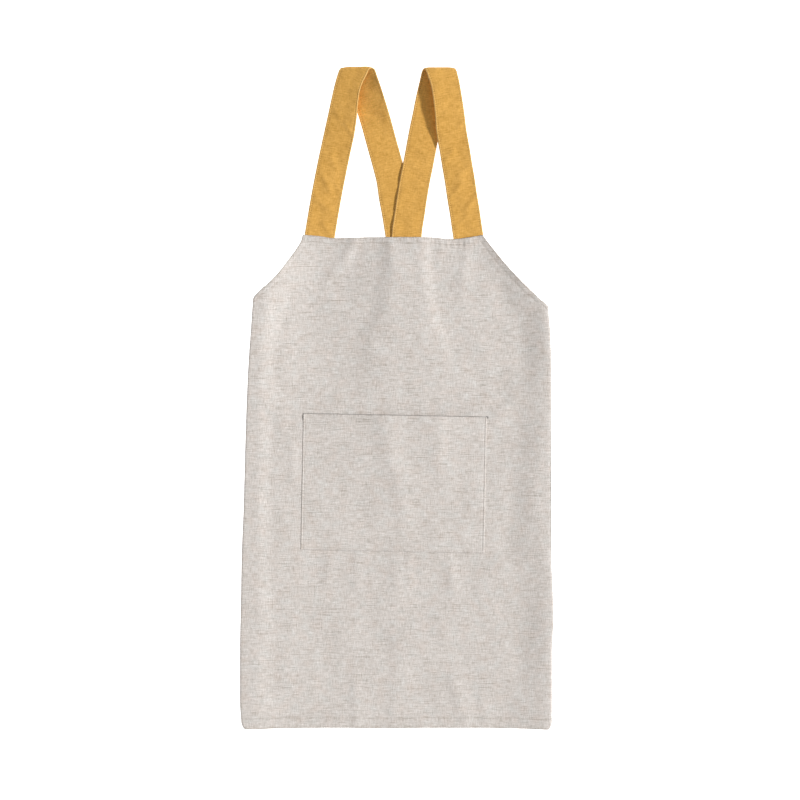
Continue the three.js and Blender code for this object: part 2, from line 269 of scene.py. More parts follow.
# Shoulder straps: the middle line of the front run and of the back run, joined by a round bend at the top,
# and how steeply each leans across. One edge of the front run is pulled in below the bend, the back run's
# left edge curls up, seam is the share of the seam's relief on the right edge, and short creases are given
# by place across and length along the ribbon.
LEFT_STRAP = SimpleNamespace(
    side="left",
    front=table(
        "y x z lean",
        (218, -122.9, 1.6, 0),
        (259, -116.3, 1.7, 0),
        (308, -107.9, 2.3, 0),
        (357, -98.3, 3.6, 0.02),
        (406, -87.6, 8.2, 0.09),
        (430, -82.1, 12.6, 0.13),
        (455, -76.6, 16.8, 0.13),
        (479, -70.7, 19.2, 0.13),
        (499.5, -63.9, 20, 0.13),
    ),
    back=table(
        "y x z lean",
        (50, 48, 2.35, 0),
        (86, 41.5, 2.35, 0),
        (96, 37, 1.0, 0),
        (114, 29, 1.0, 0),
        (150, 20, 1.0, 0),
        (200, 12.5, 1.0, 0),
        (256, 4.2, 1.0, 0),
        (284, -0.3, 1.0, 0),
        (308, -4.8, 1.0, 0),
        (333, -8.4, 1.0, 0),
        (357, -14.3, 1.0, 0),
        (394, -24.5, 1.0, 0),
        (418, -31, 2.9, 0.08),
        (440, -37.6, 5.6, 0.2),
        (467, -46.2, 8.8, 0.35),
        (484, -52.2, 9.9, 0.42),
        (499.5, -57.3, 9.8, 0.38),
    ),
    pulled=1,
    pull=table("y by", (406, 0), (430, 2), (449, 4.6), (474, 7), (490, 6.3), (499.5, 4.4)),
    curl=table("y rise", (250, 0), (370, 0)),
    seam=table("length share", (350, 0.3), (410, 0.9), (500, 0.9), (530, 0.3)),
    creases=table(
        "x0 y0 x1 y1 left right rise",
        (6, 421, 20, 406, 3, 3.5, 0.9),
        (-14, 436, -5, 426, 3, 4, 0.7),
        (-5, 367, 8, 352, 4, 4, 0.8),
        (-12, 339, 4, 317, 4, 4.5, 1.0),
        (9, 333, 17, 321, 3, 3.5, 0.7),
        (-16, 304, 12, 286, 4, 5, 0.8),
        (2, 268, 18, 252, 4, 5, 0.7),
        (0, 520, 16, 534, 3, 3.5, 1.0),
        (4, 545, 20, 557, 3.5, 4, 0.8),
        (-10, 574, 10, 590, 4, 5, 0.7),
    ),
)
RIGHT_STRAP = SimpleNamespace(
    side="right",
    front=table(
        "y x z lean",
        (218, 113.8, 1.6, 0),
        (259, 107.2, 1.7, 0),
        (284, 103.6, 2.1, 0),
        (308, 99.6, 2.5, 0),
        (333, 95.9, 3.0, 0),
        (357, 91.8, 3.6, 0),
        (382, 87.7, 5.0, -0.02),
        (406, 83.3, 8.2, -0.05),
        (430, 80.3, 12.4, -0.06),
        (455, 76.5, 16, -0.06),
        (479, 72.2, 17.7, -0.05),
        (496.5, 68, 18, -0.05),
    ),
    back=table(
        "y x z lean",
        (50, -26, 2.35, 0),
        (86, -18.5, 2.35, 0),
        (96, -16, 3.1, 0),
        (114, -8, 3.1, 0),
        (150, 5, 3.1, 0),
        (200, 11.5, 3.1, 0),
        (256, 15.5, 3.1, 0),
        (284, 19.7, 3.1, 0),
        (308, 23.2, 3.1, 0),
        (333, 27.5, 3.1, 0),
        (357, 32.4, 3.0, 0),
        (392, 38.8, 1.0, 0),
        (406, 41.4, 1.0, 0),
        (430, 46.5, 1.0, 0),
        (455, 51.5, 1.9, -0.04),
        (479, 57.1, 2.2, -0.05),
        (496.5, 61, 2.2, -0.05),
    ),
    pulled=-1,
    pull=table("y by", (415, 0), (432, 1.2), (464, 2.6), (485, 2.7), (496.5, 1.2)),
    curl=table(
        "y rise",
        (248, 0.1),
        (262, 0.9),
        (278, 0.1),
        (300, 1.1),
        (318, 0.1),
        (338, 0.9),
        (356, 0.2),
        (372, 0),
    ),
    seam=table("length share", (350, 0.3), (500, 0.3)),
    creases=table(
        "x0 y0 x1 y1 left right rise",
        (-20, 306, -3, 322, 4, 4.5, 0.9),
        (6, 291, 22, 306, 4, 4.5, 0.8),
        (-19, 363, -3, 378, 4, 5, 0.8),
        (11, 411, 21, 422, 3, 4, 0.7),
        (0, 340, 16, 350, 4, 5, 0.7),
        (-16, 262, 2, 278, 4, 5, 0.7),
        (-2, 570, 14, 584, 4, 5, 0.7),
        (-12, 612, 6, 630, 4, 5, 0.6),
    ),
)

# Rounding of a strap's corners at its bend, the power of that curve, and the stretch from its sewn start
# over which its ripple and creases begin
STRAP_CORNER = 2.4
STRAP_CORNER_CURVE = 6
STRAP_FREE = 30

# From where to where the painted shade of a needle hole in a strap's seam fades, and its share on the right
# edge,
# # pressed flat
HOLE_SHADE_FADE = (0.4, 1.1)
RIGHT_SEAM = 0.5

# Usual spans of the grids and the steps between their points
GRID = SimpleNamespace(
    skirt=677,
    skirt_step=5.6,
    bib=85,
    bib_start=(0, 2.2),
    bib_step=2.4,
    front=430,
    front_step=3.0,
    wing=200,
    wing_start=(0, 9),
    wing_step=12,
    pocket_step=2.7,
    strap_step=2.6,
)

# Spacing of grid points in from an edge, past the stitch line of its hem
HEM_STEPS = (0, 0.8, 1.8, 3, 4.2, 5.4, 6.6, 7.6, 8.6, 9.8, 11.5, 14)
BOTTOM_STEPS = (0, 1, 2.4, 4.4, 7, 10, 12.8, 14, 15, 16, 17.4, 20)
EDGE_STEPS = (0, 0.35, 0.9, 1.5, 2.1, 2.6, 3.1, 3.8, 5)
MOUTH_STEPS = (0, 0.5, 1.2, 2.2, 3.6, 5.5, 7.5, 9.5, 11, 12, 13, 14.5, 17)

# Grid columns round a fold's upper half: by share of its reach, then by share of its half height
FOLD_OUT = np.array([0.15, 0.3, 0.45, 0.6, 0.72, 0.82, 0.9, 0.96])
FOLD_UP = np.array([0.78, 0.6, 0.4, 0.2, 0])

# Soft unevenness of the lying cloth, and how low a strap's middle may lie and how softly it is stopped there
BODY_RIPPLE = SimpleNamespace(seed=11, count=16, shortest=34, longest=120, height=0.3)
STRAP_RIPPLE = SimpleNamespace(seed=23, count=16, shortest=10, longest=44, height=0.2)
STRAP_LOWEST = 1.05
STRAP_REST = 0.2

# Gathers below the bib's top: wave length, height and reach, distance of their line from the edge, the place
# and half width where they are strongest, their least share, and the sway of the waves with its length
PUCKER = SimpleNamespace(
    length=8.4,
    height=0.3,
    reach=5.0,
    below=9,
    middle=92,
    half=34,
    least=0.35,
    sway=1.4,
    sway_length=9,
)

# From where to where, past its stitch line, the inner layers of a turned edge thin out
LAYERS_END = (0.4, 1.8)

# How far in the painted edge shade fades, and on the straps their paler edge colour too, half the width of a
# # stitch line, and the line's share of that painted shade
EDGE_FADE = 1.5
SEAM_HALF = 0.9
SEAM_SHADE = 0.7

# Points along a stitch line of the front and of a side, and a side's parts, of which one goes round its fold
FRONT_POINTS = 400
SIDE_POINTS = 300
SIDE_PARTS = 6

# Bartack at an end of the pocket's mouth: number of stitches, and how far below it the first and last lie
BARTACK = SimpleNamespace(count=9, first=1.0, last=8.0)

# Depth of the weave's relief in both canvases
WEAVE_DEPTH = 0.3

# Tone of the dark ply of each thread, as a share of its light one
LINEN_PLY = 0.8
MUSTARD_PLY = 0.75

# Light that the floor gives by itself, and tone of its darker patches
FLOOR_GLOW = 1.2
FLOOR_PATCH = 0.985


# Curves and rises

def smooth(rows, key, column, at):
    """A column of a table at places along its key: a cubic between rows whose slopes are harmonic means of
    the neighbouring secants, so that it never overshoots, and level past both ends."""
    knots = rows[key]
    values = rows[column]
    span = np.diff(knots)
    secant = np.diff(values) / span
    product = secant[:-1] * secant[1:]
    total = np.where(product > 0, secant[:-1] + secant[1:], 1)
    middle = np.where(product > 0, 2 * product / total, 0)
    slope = np.concatenate([secant[:1], middle, secant[-1:]])
    at = np.clip(at, knots[0], knots[-1])
    i = np.clip(np.searchsorted(knots, at, side="right") - 1, 0, len(span) - 1)
    t = (at - knots[i]) / span[i]
    start = values[i] * (1 + 2 * t) * (1 - t) ** 2
    end = values[i + 1] * t * t * (3 - 2 * t)
    leave = slope[i] * span[i] * t * (1 - t) ** 2
    arrive = slope[i + 1] * span[i] * t * t * (t - 1)
    return start + end + leave + arrive


def ease(low, high, value):
    """A smooth step from 0 at low to 1 at high: 3t^2 - 2t^3 of the clamped share t between them."""
    t = np.clip((value - low) / (high - low), 0, 1)
    return t * t * (3 - 2 * t)


def unit(vectors):
    """Vectors along the last axis, each divided by its own length."""
    return vectors / np.linalg.norm(vectors, axis=-1, keepdims=True)


def spaced(length, first, last, step):
    """Places from 0 to a length: at the first distances from its start, at the last distances from its end,
    and about one step apart between them."""
    start = np.array(first, dtype=float)
    end = length - np.array(last[::-1], dtype=float)
    count = round((end[0] - start[-1]) / step)
    middle = np.linspace(start[-1], end[0], count + 1)[1:-1]
    return np.concatenate([start, middle, end])


def crease_rise(creases, x, y):
    """The highest of several creases at a point: each is its rise times exp(-(d / half)^2), where d is the
    distance to the line between its two ends and half its half width on that side."""
    x = np.asarray(x, dtype=float)[..., None]
    y = np.asarray(y, dtype=float)[..., None]
    run_x = creases["x1"] - creases["x0"]
    run_y = creases["y1"] - creases["y0"]
    t = ((x - creases["x0"]) * run_x + (y - creases["y0"]) * run_y) / (run_x**2 + run_y**2)
    t = np.clip(t, 0, 1)
    off_x = x - creases["x0"] - t * run_x
    half = np.where(off_x < 0, creases["left"], creases["right"])
    away = np.hypot(off_x, y - creases["y0"] - t * run_y)
    return np.max(creases["rise"] * np.exp(-((away / half) ** 2)), axis=-1)


def ripple(waves, x, y):
    """Soft unevenness: the sum of seeded plane sine waves of several lengths and headings, scaled so that
    its usual size is the given height."""
    draw = np.random.default_rng(waves.seed)
    length = draw.uniform(waves.shortest, waves.longest, waves.count)
    heading = draw.uniform(0, 2 * pi, waves.count)
    phase = draw.uniform(0, 2 * pi, waves.count)
    x = np.asarray(x, dtype=float)[..., None]
    y = np.asarray(y, dtype=float)[..., None]
    turns = (x * np.cos(heading) + y * np.sin(heading)) / length
    share = length / length.mean()
    return waves.height * np.sqrt(2 / waves.count) * np.sum(share * np.sin(2 * pi * turns + phase), axis=-1)


def hem_swell(distance, width, height, dip):
    """Outer swell of a turned and stitched edge: half a sine wave from the edge to the stitch line, and a
    narrow bell-shaped dip along that line."""
    band = np.clip(distance / width, 0, 1)
    return height * np.sin(pi * band) - dip * np.exp(-(((distance - width) / SEAM_HALF) ** 2))


def hem_layers(distance, width, layers):
    """Inner thickness that a turned edge adds: its layers, up to just past the stitch line."""
    return layers * (1 - ease(*LAYERS_END, distance - width))


# Body cloth

def ridge_out(side, y):
    """How far a side's ridge or armhole edge is from the middle, read from its table."""
    return smooth(side.ridge, "y", "out", y)


def side_rise(side, x, y):
    """Rise of the front beside a soft fold: a raised cosine over the fold's slope, in part over a broader
    one, and in part a power curve that is steepest at the ridge, as it wholly is along the armhole, whose
    band curls up a little at its edge."""
    inward = np.maximum(ridge_out(side, y) - side.sign * x, 0)
    t = np.clip(inward / smooth(side.ridge, "y", "slope", y), 0, 1)
    t_broad = np.clip(inward / smooth(BROAD_SLOPE, "y", "way", y), 0, 1)
    round_off = 0.5 + (1 - side.broad) * np.cos(pi * t) / 2 + side.broad * np.cos(pi * t_broad) / 2
    steep = np.maximum(side.steep, ease(side.corner, side.corner + LIP_BLEND, y))
    shape = (1 - steep) * round_off + steep * (1 - t) ** LIP_CURVE
    band = bpy.context.scene.apron_cloth.armhole_hem / MM
    lip = LIP_RISE * np.clip(1 - inward / band, 0, 1) ** 2 * ease(side.corner, side.corner + LIP_BLEND, y)
    return smooth(side.ridge, "y", "rise", y) * shape + lip


def bundle_rise(x, y, width):
    """Rise of the front over the crossed back runs: full between their outer edges, then eased away."""
    left = smooth(LEFT_STRAP.back, "y", "x", y)
    right = smooth(RIGHT_STRAP.back, "y", "x", y)
    past_left = np.minimum(left, right) - width / 2 - x
    past_right = x - np.maximum(left, right) - width / 2
    gone = ease(*BUNDLE_LEFT, past_left) + ease(*BUNDLE_RIGHT, past_right)
    return smooth(BUNDLE, "y", "rise", y) * (1 - gone)


def front_height(x, y):
    """Height of the middle of the front cloth: its level across, plus both side rises, the straps behind it,
    its creases and a soft ripple."""
    straps = bundle_rise(x, y, bpy.context.scene.apron_straps.width / MM)
    sides = side_rise(LEFT_SIDE, x, y) + side_rise(RIGHT_SIDE, x, y)
    level = FRONT_MID + smooth(LEVEL, "x", "rise", x) * smooth(LEVEL_LOW, "y", "share", y)
    return level + sides + straps + crease_rise(FRONT_CREASES, x, y) + ripple(BODY_RIPPLE, x, y)


def surface_normal(height, x, y):
    """Upward normal of a height over the floor, from its differences over a small step."""
    step = 0.5
    slope_x = (height(x + step, y) - height(x - step, y)) / (2 * step)
    slope_y = (height(x, y + step) - height(x, y - step)) / (2 * step)
    return unit(np.stack([-slope_x, -slope_y, np.ones_like(slope_x)], axis=-1))


def front_spread(share, rows):
    """Places of the front by share across and row line: y runs from the hem to the line between the two
    armhole corners and on to the bib's top, and x is the share of the way to the ridge there."""
    hem = smooth(HEM, "share", "y", share)
    corner = LEFT_SIDE.corner + (RIGHT_SIDE.corner - LEFT_SIDE.corner) * (share + 1) / 2
    top = smooth(BIB_TOP, "share", "y", share)
    y = np.where(rows <= 1, hem + (corner - hem) * rows, corner + (top - corner) * (rows - 1))
    out = np.where(share < 0, ridge_out(LEFT_SIDE, y), ridge_out(RIGHT_SIDE, y))
    return SimpleNamespace(x=share * out, y=y, hem=hem, top=top)


def front_edge_distance(side, x, y):
    """Distance in from an armhole: square to its edge above the corner, and to the corner below it."""
    step = 1.0
    lean = (ridge_out(side, y + step) - ridge_out(side, y - step)) / (2 * step)
    inward = ridge_out(side, y) - side.sign * x
    return np.where(y > side.corner, inward / np.hypot(1, lean), np.hypot(inward, side.corner - y))


def wing_length(side):
    """Length of a wing's top edge from the fold to the back edge."""
    return abs(side.sign * ridge_out(side, side.corner) - side.back_top)


def fold_round(side, turn):
    """Place on a fold of unit reach and half height, by turn from the ridge (0) to the wing (pi): the sine
    and cosine, each raised so that the fold is nearly flat above and below and round at its outer edge."""
    power = 2 / side.square
    return np.abs(np.sin(turn)) ** power, np.sign(np.cos(turn)) * np.abs(np.cos(turn)) ** power


def fold_share(side, turn):
    """Share of a fold's way round at a turn, mostly by how far out it is and a little by its height."""
    out, up = fold_round(side, turn)
    share = (FOLD_SPREAD * out + (1 - FOLD_SPREAD) * (1 - np.abs(up))) / 2
    return np.where(turn <= pi / 2, share, 1 - share)


def side_span(side, turn, inward):
    """Hem and top edge of a side's column: the top falls from the armhole corner to the back edge along a
    power curve of how far the column is round the fold and in along the wing."""
    fold = FOLD_LENGTH * smooth(side.ridge, "y", "reach", side.corner)
    away = (fold * fold_share(side, turn) + wing_length(side) * inward) / (fold + wing_length(side))
    top = WING_TOP + (side.corner - WING_TOP) * (1 - away) ** WING_TOP_CURVE
    hem = smooth(HEM, "share", "y", np.float64(side.sign)) + WING_HEM_RISE * inward
    return hem, top


def side_place(side, turn, inward, y, upward):
    """Point of a side's middle surface: round the fold from the ridge (turn 0) to the wing (turn pi), then
    straight in along the floor to the back edge."""
    ridge = ridge_out(side, y)
    half = (front_height(side.sign * ridge, y) - WING_MID) / 2
    out, up = fold_round(side, turn)
    fold = side.sign * (ridge + smooth(side.ridge, "y", "reach", y) * out)
    back = side.back_hem + (side.back_top - side.back_hem) * upward
    x = fold + (back - fold) * inward
    z = WING_MID + half * (1 + up)
    return np.stack(np.broadcast_arrays(x, y, z), axis=-1)


def side_grid(side, cloth, rows):
    """Grid of one side, from its ridge to the back edge, by column and row: middle points, distances in from
    its edges, and flat cloth places. A fold's columns are spaced by how far out and then how high it is."""
    upper = [np.arcsin(FOLD_OUT ** (side.square / 2)), np.arccos(FOLD_UP ** (side.square / 2))]
    upper = np.concatenate(upper)
    fold_turn = np.concatenate([upper, pi - upper[-2::-1], [pi]])
    wing_in = spaced(GRID.wing, GRID.wing_start, HEM_STEPS, GRID.wing_step)[1:] / GRID.wing
    turn = np.concatenate([fold_turn, np.full(len(wing_in), pi)])[:, None]
    inward = np.concatenate([np.zeros(len(fold_turn)), wing_in])[:, None]
    hem, top = side_span(side, turn, inward)
    y = hem + (top - hem) * rows
    mid = side_place(side, turn, inward, y, rows)
    back = (1 - inward) * wing_length(side) + 0 * y
    fold_run = FOLD_LENGTH * smooth(side.ridge, "y", "reach", y) * fold_share(side, turn)
    u = side.sign * (ridge_out(side, y) + fold_run + wing_length(side) * inward)
    edges = ((top - y, cloth.armhole_hem), (y - hem, cloth.bottom_hem), (back, cloth.back_hem))
    return mid, edges, np.stack([u, y], axis=-1)


def front_grid(cloth, share, rows):
    """Grid of the front by column and row, as side_grid gives a side's."""
    spread = front_spread(share, rows)
    mid = np.stack([spread.x, spread.y, front_height(spread.x, spread.y)], axis=-1)
    edges = (
        (spread.top - spread.y, cloth.bib_hem),
        (front_edge_distance(LEFT_SIDE, spread.x, spread.y), cloth.armhole_hem),
        (front_edge_distance(RIGHT_SIDE, spread.x, spread.y), cloth.armhole_hem),
        (spread.y - spread.hem, cloth.bottom_hem),
    )
    return mid, edges, np.stack([spread.x, spread.y], axis=-1)


def cloth_faces(cloth, edges, wall, turned):
    """Distances of the outer and inner face from the middle, and nearness to an edge for the painted shade:
    half the wall, plus each turned edge's swell outside and its layers inside. The nearness is the larger of
    a fall-off from the nearest edge and a share of the nearness to a stitch line, so that shade is painted
    along both."""
    outer = wall / MM / 2
    layers = 0
    nearest = np.inf
    seam = 0
    for distance, width in edges:
        width = width / MM
        outer = outer + hem_swell(distance, width, cloth.swell / MM, cloth.dip / MM)
        layers = np.maximum(layers, hem_layers(distance, width, turned / MM))
        nearest = np.minimum(nearest, distance)
        seam = np.maximum(seam, np.exp(-(((distance - width) / SEAM_HALF) ** 2)))
    edge = np.exp(-np.maximum(nearest, 0) / EDGE_FADE)
    return outer, wall / MM / 2 + layers, np.maximum(edge, SEAM_SHADE * seam)


def bib_pucker(mid, top):
    """Small gathers along the bib's top stitch line: a sine wave along the edge that fades away from the
    line, and is strongest on the right."""
    x = mid[..., 0]
    below = top - mid[..., 1]
    where = PUCKER.least + np.exp(-(((x - PUCKER.middle) / PUCKER.half) ** 2))
    wave = np.sin(2 * pi * x / PUCKER.length + PUCKER.sway * np.sin(x / PUCKER.sway_length))
    return PUCKER.height * where * wave * np.exp(-(((below - PUCKER.below) / PUCKER.reach) ** 2))


def body_wall(cloth):
    """The whole body cloth as one grid, from the left wing's back edge over the front to the right wing's."""
    skirt = spaced(GRID.skirt, BOTTOM_STEPS, HEM_STEPS, GRID.skirt_step) / GRID.skirt
    bib = 1 + spaced(GRID.bib, GRID.bib_start, HEM_STEPS, GRID.bib_step)[1:] / GRID.bib
    share = (spaced(GRID.front, HEM_STEPS, HEM_STEPS, GRID.front_step) / GRID.front * 2 - 1)[:, None]
    rows = np.concatenate([skirt, bib])
    parts = []
    for side in (LEFT_SIDE, None, RIGHT_SIDE):
        if side is None:
            mid, edges, flat = front_grid(cloth, share, rows)
        else:
            mid, edges, flat = side_grid(side, cloth, skirt)
        outer, inner, edge = cloth_faces(cloth, edges, cloth.wall, cloth.layers)
        if side is None:
            outer = outer + bib_pucker(mid, front_spread(share, rows).top)
        part = np.dstack([mid, outer, inner, edge, flat])
        part = part[::-1] if side is LEFT_SIDE else part
        missing = ((0, 0), (0, len(rows) - part.shape[1]), (0, 0))
        parts.append(np.pad(part, missing, constant_values=np.nan))
    return np.concatenate(parts)


# Patch pocket

def pocket_spread(across, upward):
    """Places of the pocket on the front: a rectangle by share across and upward, turned a little."""
    x = across * POCKET.width / 2
    y = (upward - 0.5) * POCKET.height
    turned_x = x * np.cos(POCKET.turn) - y * np.sin(POCKET.turn)
    turned_y = x * np.sin(POCKET.turn) + y * np.cos(POCKET.turn)
    return turned_x + POCKET.x, turned_y + POCKET.y


def pocket_height(across, upward):
    """Middle of the pocket cloth over the floor: on the front at its sewn sides and bottom, with slack of
    1 - across^4 between the sides, a gape of (1 - across^2) upward^3 at the mouth, the pocket's own creases,
    and a bell-shaped lump at the left tack of the mouth."""
    cloth = bpy.context.scene.apron_cloth
    x, y = pocket_spread(across, upward)
    from_tack = np.hypot((1 + across) * POCKET.width / 2, (1 - upward) * POCKET.height - POCKET.tack_below)
    lump = POCKET.tack * np.exp(-((from_tack / POCKET.tack_half) ** 2))
    sewn = (1 - across**4) * ease(0, POCKET.slack_begins, upward)
    gape = POCKET.mouth * (1 - across**2) * upward**3
    slack = sewn * (gape + crease_rise(POCKET_CREASES, x, y) + POCKET.slack)
    seat = (cloth.wall + cloth.pocket_wall) / 2 + cloth.pocket_layers
    return front_height(x, y) + seat / MM + SEWN_GAP + slack + lump


def pocket_wall(cloth):
    """The pocket as a grid by column and row, with turned edges sewn down and a wider hem at the mouth. Its
    painted edge shade goes evenly from the left side's share to the right side's."""
    across = spaced(POCKET.width, EDGE_STEPS, EDGE_STEPS, GRID.pocket_step)
    across = (across / POCKET.width * 2 - 1)[:, None]
    upward = spaced(POCKET.height, EDGE_STEPS, MOUTH_STEPS, GRID.pocket_step) / POCKET.height
    x, y = np.broadcast_arrays(*pocket_spread(across, upward))
    mid = np.stack([x, y, pocket_height(across, upward)], axis=-1)
    inward = (1 - np.abs(across)) * POCKET.width / 2 + 0 * upward
    above = upward * POCKET.height + 0 * across
    below = (1 - upward) * POCKET.height + 0 * across
    edges = ((inward, cloth.pocket_edge), (above, cloth.pocket_edge), (below, cloth.mouth_hem))
    outer, inner, edge = cloth_faces(cloth, edges, cloth.pocket_wall, cloth.pocket_layers)
    left, right = POCKET_SHADE
    shade = edge * (left + (right - left) * (across + 1) / 2)
    return np.dstack([mid, outer, inner, shade, x + POCKET_CUT[0], y + POCKET_CUT[1]])


# Shoulder straps

def strap_runs(strap):
    """The strap as a flat ribbon: where its front run ends, the radius and end of the bend, and its end."""
    front_top = strap.front["y"][-1]
    back_top = strap.back["y"][-1]
    radius = (strap.front["z"][-1] - strap.back["z"][-1]) / 2
    bend_end = front_top + pi * radius
    end = bend_end + back_top - strap.back["y"][0]
    return SimpleNamespace(
        start=strap.front["y"][0],
        front_top=front_top,
        back_top=back_top,
        radius=radius,
        bend_end=bend_end,
        end=end,
    )


def strap_across(strap, length):
    """How far across the apron the ribbon's middle is: its tables on both runs, straight round the bend."""
    runs = strap_runs(strap)
    share = np.clip((length - runs.front_top) / (runs.bend_end - runs.front_top), 0, 1)
    front = smooth(strap.front, "y", "x", length)
    back = smooth(strap.back, "y", "x", runs.back_top - (length - runs.bend_end))
    bend = strap.front["x"][-1] + (strap.back["x"][-1] - strap.front["x"][-1]) * share
    return np.where(share <= 0, front, np.where(share >= 1, back, bend))


def strap_profile(strap, length):
    """Where a length along the ribbon lies up the apron and over the floor: up the front, half a circle, and
    down the back."""
    runs = strap_runs(strap)
    turn = np.clip((length - runs.front_top) / runs.radius, 0, pi)
    down = np.maximum(length - runs.bend_end, 0)
    up = np.minimum(length, runs.front_top)
    y = np.where(down > 0, runs.back_top - down, up + runs.radius * np.sin(turn))
    bend_z = strap.back["z"][-1] + runs.radius * (1 + np.cos(turn))
    front_z = smooth(strap.front, "y", "z", up)
    back_z = smooth(strap.back, "y", "z", runs.back_top - down)
    z = np.where(turn <= 0, front_z, np.where(down > 0, back_z, bend_z))
    return y, z


def strap_lean(strap, length):
    """How steeply the ribbon leans across: its tables on both runs, and smoothly from one to the other round
    the bend."""
    runs = strap_runs(strap)
    share = ease(runs.front_top, runs.bend_end, length)
    front = smooth(strap.front, "y", "lean", length)
    back = smooth(strap.back, "y", "lean", runs.back_top - (length - runs.bend_end))
    return front * (1 - share) + back * share


def strap_place(strap, length, sideways):
    """A point of the ribbon's middle and its outward normal: square to its middle line by the place across,
    then laid along the profile and leaning across. One edge is pulled in below the bend, whose corners are
    rounded, and the back run's left edge curls. A soft ripple and short creases go along the normal, and the
    whole is flattened smoothly where it would sink into the floor."""
    step = 1.0
    near = 0.2
    runs = strap_runs(strap)
    half = bpy.context.scene.apron_straps.width / MM / 2
    heading = (strap_across(strap, length + step) - strap_across(strap, length - step)) / (2 * step)
    cosine = 1 / np.hypot(1, heading)
    along = length - sideways * heading * cosine
    turn = np.clip((along - runs.front_top) / runs.radius, 0, pi)
    pulled = strap.pulled * np.clip(strap.pulled * sideways / half, 0, 1)
    pull = smooth(strap.pull, "y", "by", length) * pulled * (1 + np.cos(turn)) / 2
    x = strap_across(strap, length) + sideways * cosine - pull
    y, z = strap_profile(strap, along)
    y_next, z_next = strap_profile(strap, along + near)
    y_last, z_last = strap_profile(strap, along - near)
    normal = unit(np.stack(np.broadcast_arrays(0 * x, z_last - z_next, y_next - y_last), axis=-1))
    y = y - STRAP_CORNER * np.sin(turn) * np.abs(sideways / half) ** STRAP_CORNER_CURVE
    left = np.clip(-sideways / half, 0, 1)
    curl = (length > runs.bend_end) * smooth(strap.curl, "y", "rise", y) * left**2
    z = z + strap_lean(strap, along) * sideways + curl
    rise = ripple(STRAP_RIPPLE, sideways, length) + crease_rise(strap.creases, sideways, length)
    free = ease(0, STRAP_FREE, length - runs.start)
    point = np.stack(np.broadcast_arrays(x, y, z), axis=-1) + normal * (rise * free)[..., None]
    over = point[..., 2] - STRAP_LOWEST
    point[..., 2] = STRAP_LOWEST + (over + np.sqrt(over**2 + STRAP_REST**2)) / 2
    return point, normal


def seam_inset(straps):
    """Distance of a strap's stitch lines from its middle line."""
    return (straps.width - straps.wall) / 2 - straps.seam


def strap_wall(strap, straps):
    """One strap as a grid by place across and length, its edges swelling past the stitch lines, with a share
    of that relief on its right edge."""
    width = (straps.width - straps.wall) / MM
    sideways = (spaced(width, EDGE_STEPS, EDGE_STEPS, GRID.strap_step) - width / 2)[:, None]
    runs = strap_runs(strap)
    length = np.linspace(runs.start, runs.end, straps.rows)
    mid, _ = strap_place(strap, length, sideways)
    inward = width / 2 - np.abs(sideways) + 0 * length
    swell = hem_swell(inward, straps.seam / MM, straps.swell / MM, straps.dip / MM)
    relief = np.where(sideways < 0, 1, smooth(strap.seam, "length", "share", length))
    face = straps.wall / MM / 2 + swell * relief
    # Nearness to an edge, which sets a little painted shade and a paler colour at the strap's edges
    edge = np.exp(-inward / EDGE_FADE)
    flat = np.stack(np.broadcast_arrays(sideways, length), axis=-1)
    return np.dstack([mid, face, face, edge, flat])


# Meshes

def add_piece(name, points, faces, finish, flat=None, edge=None):
    """A new object at the origin from points in millimetres, with smooth faces, a finish and, for cloth, a
    map of flat places and the nearness of its points to an edge, which sets the shade painted at edges."""
    mesh = bpy.data.meshes.new(name)
    mesh.from_pydata((points * MM).tolist(), [], faces)
    mesh.polygons.foreach_set("use_smooth", np.ones(len(mesh.polygons), dtype=bool))
    if flat is not None:
        corner = np.empty(len(mesh.loops), dtype=np.int32)
        mesh.loops.foreach_get("vertex_index", corner)
        layer = mesh.uv_layers.new(name="cloth")
        layer.data.foreach_set("uv", (flat[corner] * MM).astype(np.float32).ravel())
        layer = mesh.attributes.new("edge", "FLOAT", "POINT")
        layer.data.foreach_set("value", edge.astype(np.float32))
    mesh.validate()
    mesh.materials.append(finish)
    piece = bpy.data.objects.new(name, mesh)
    bpy.context.collection.objects.link(piece)
    return piece


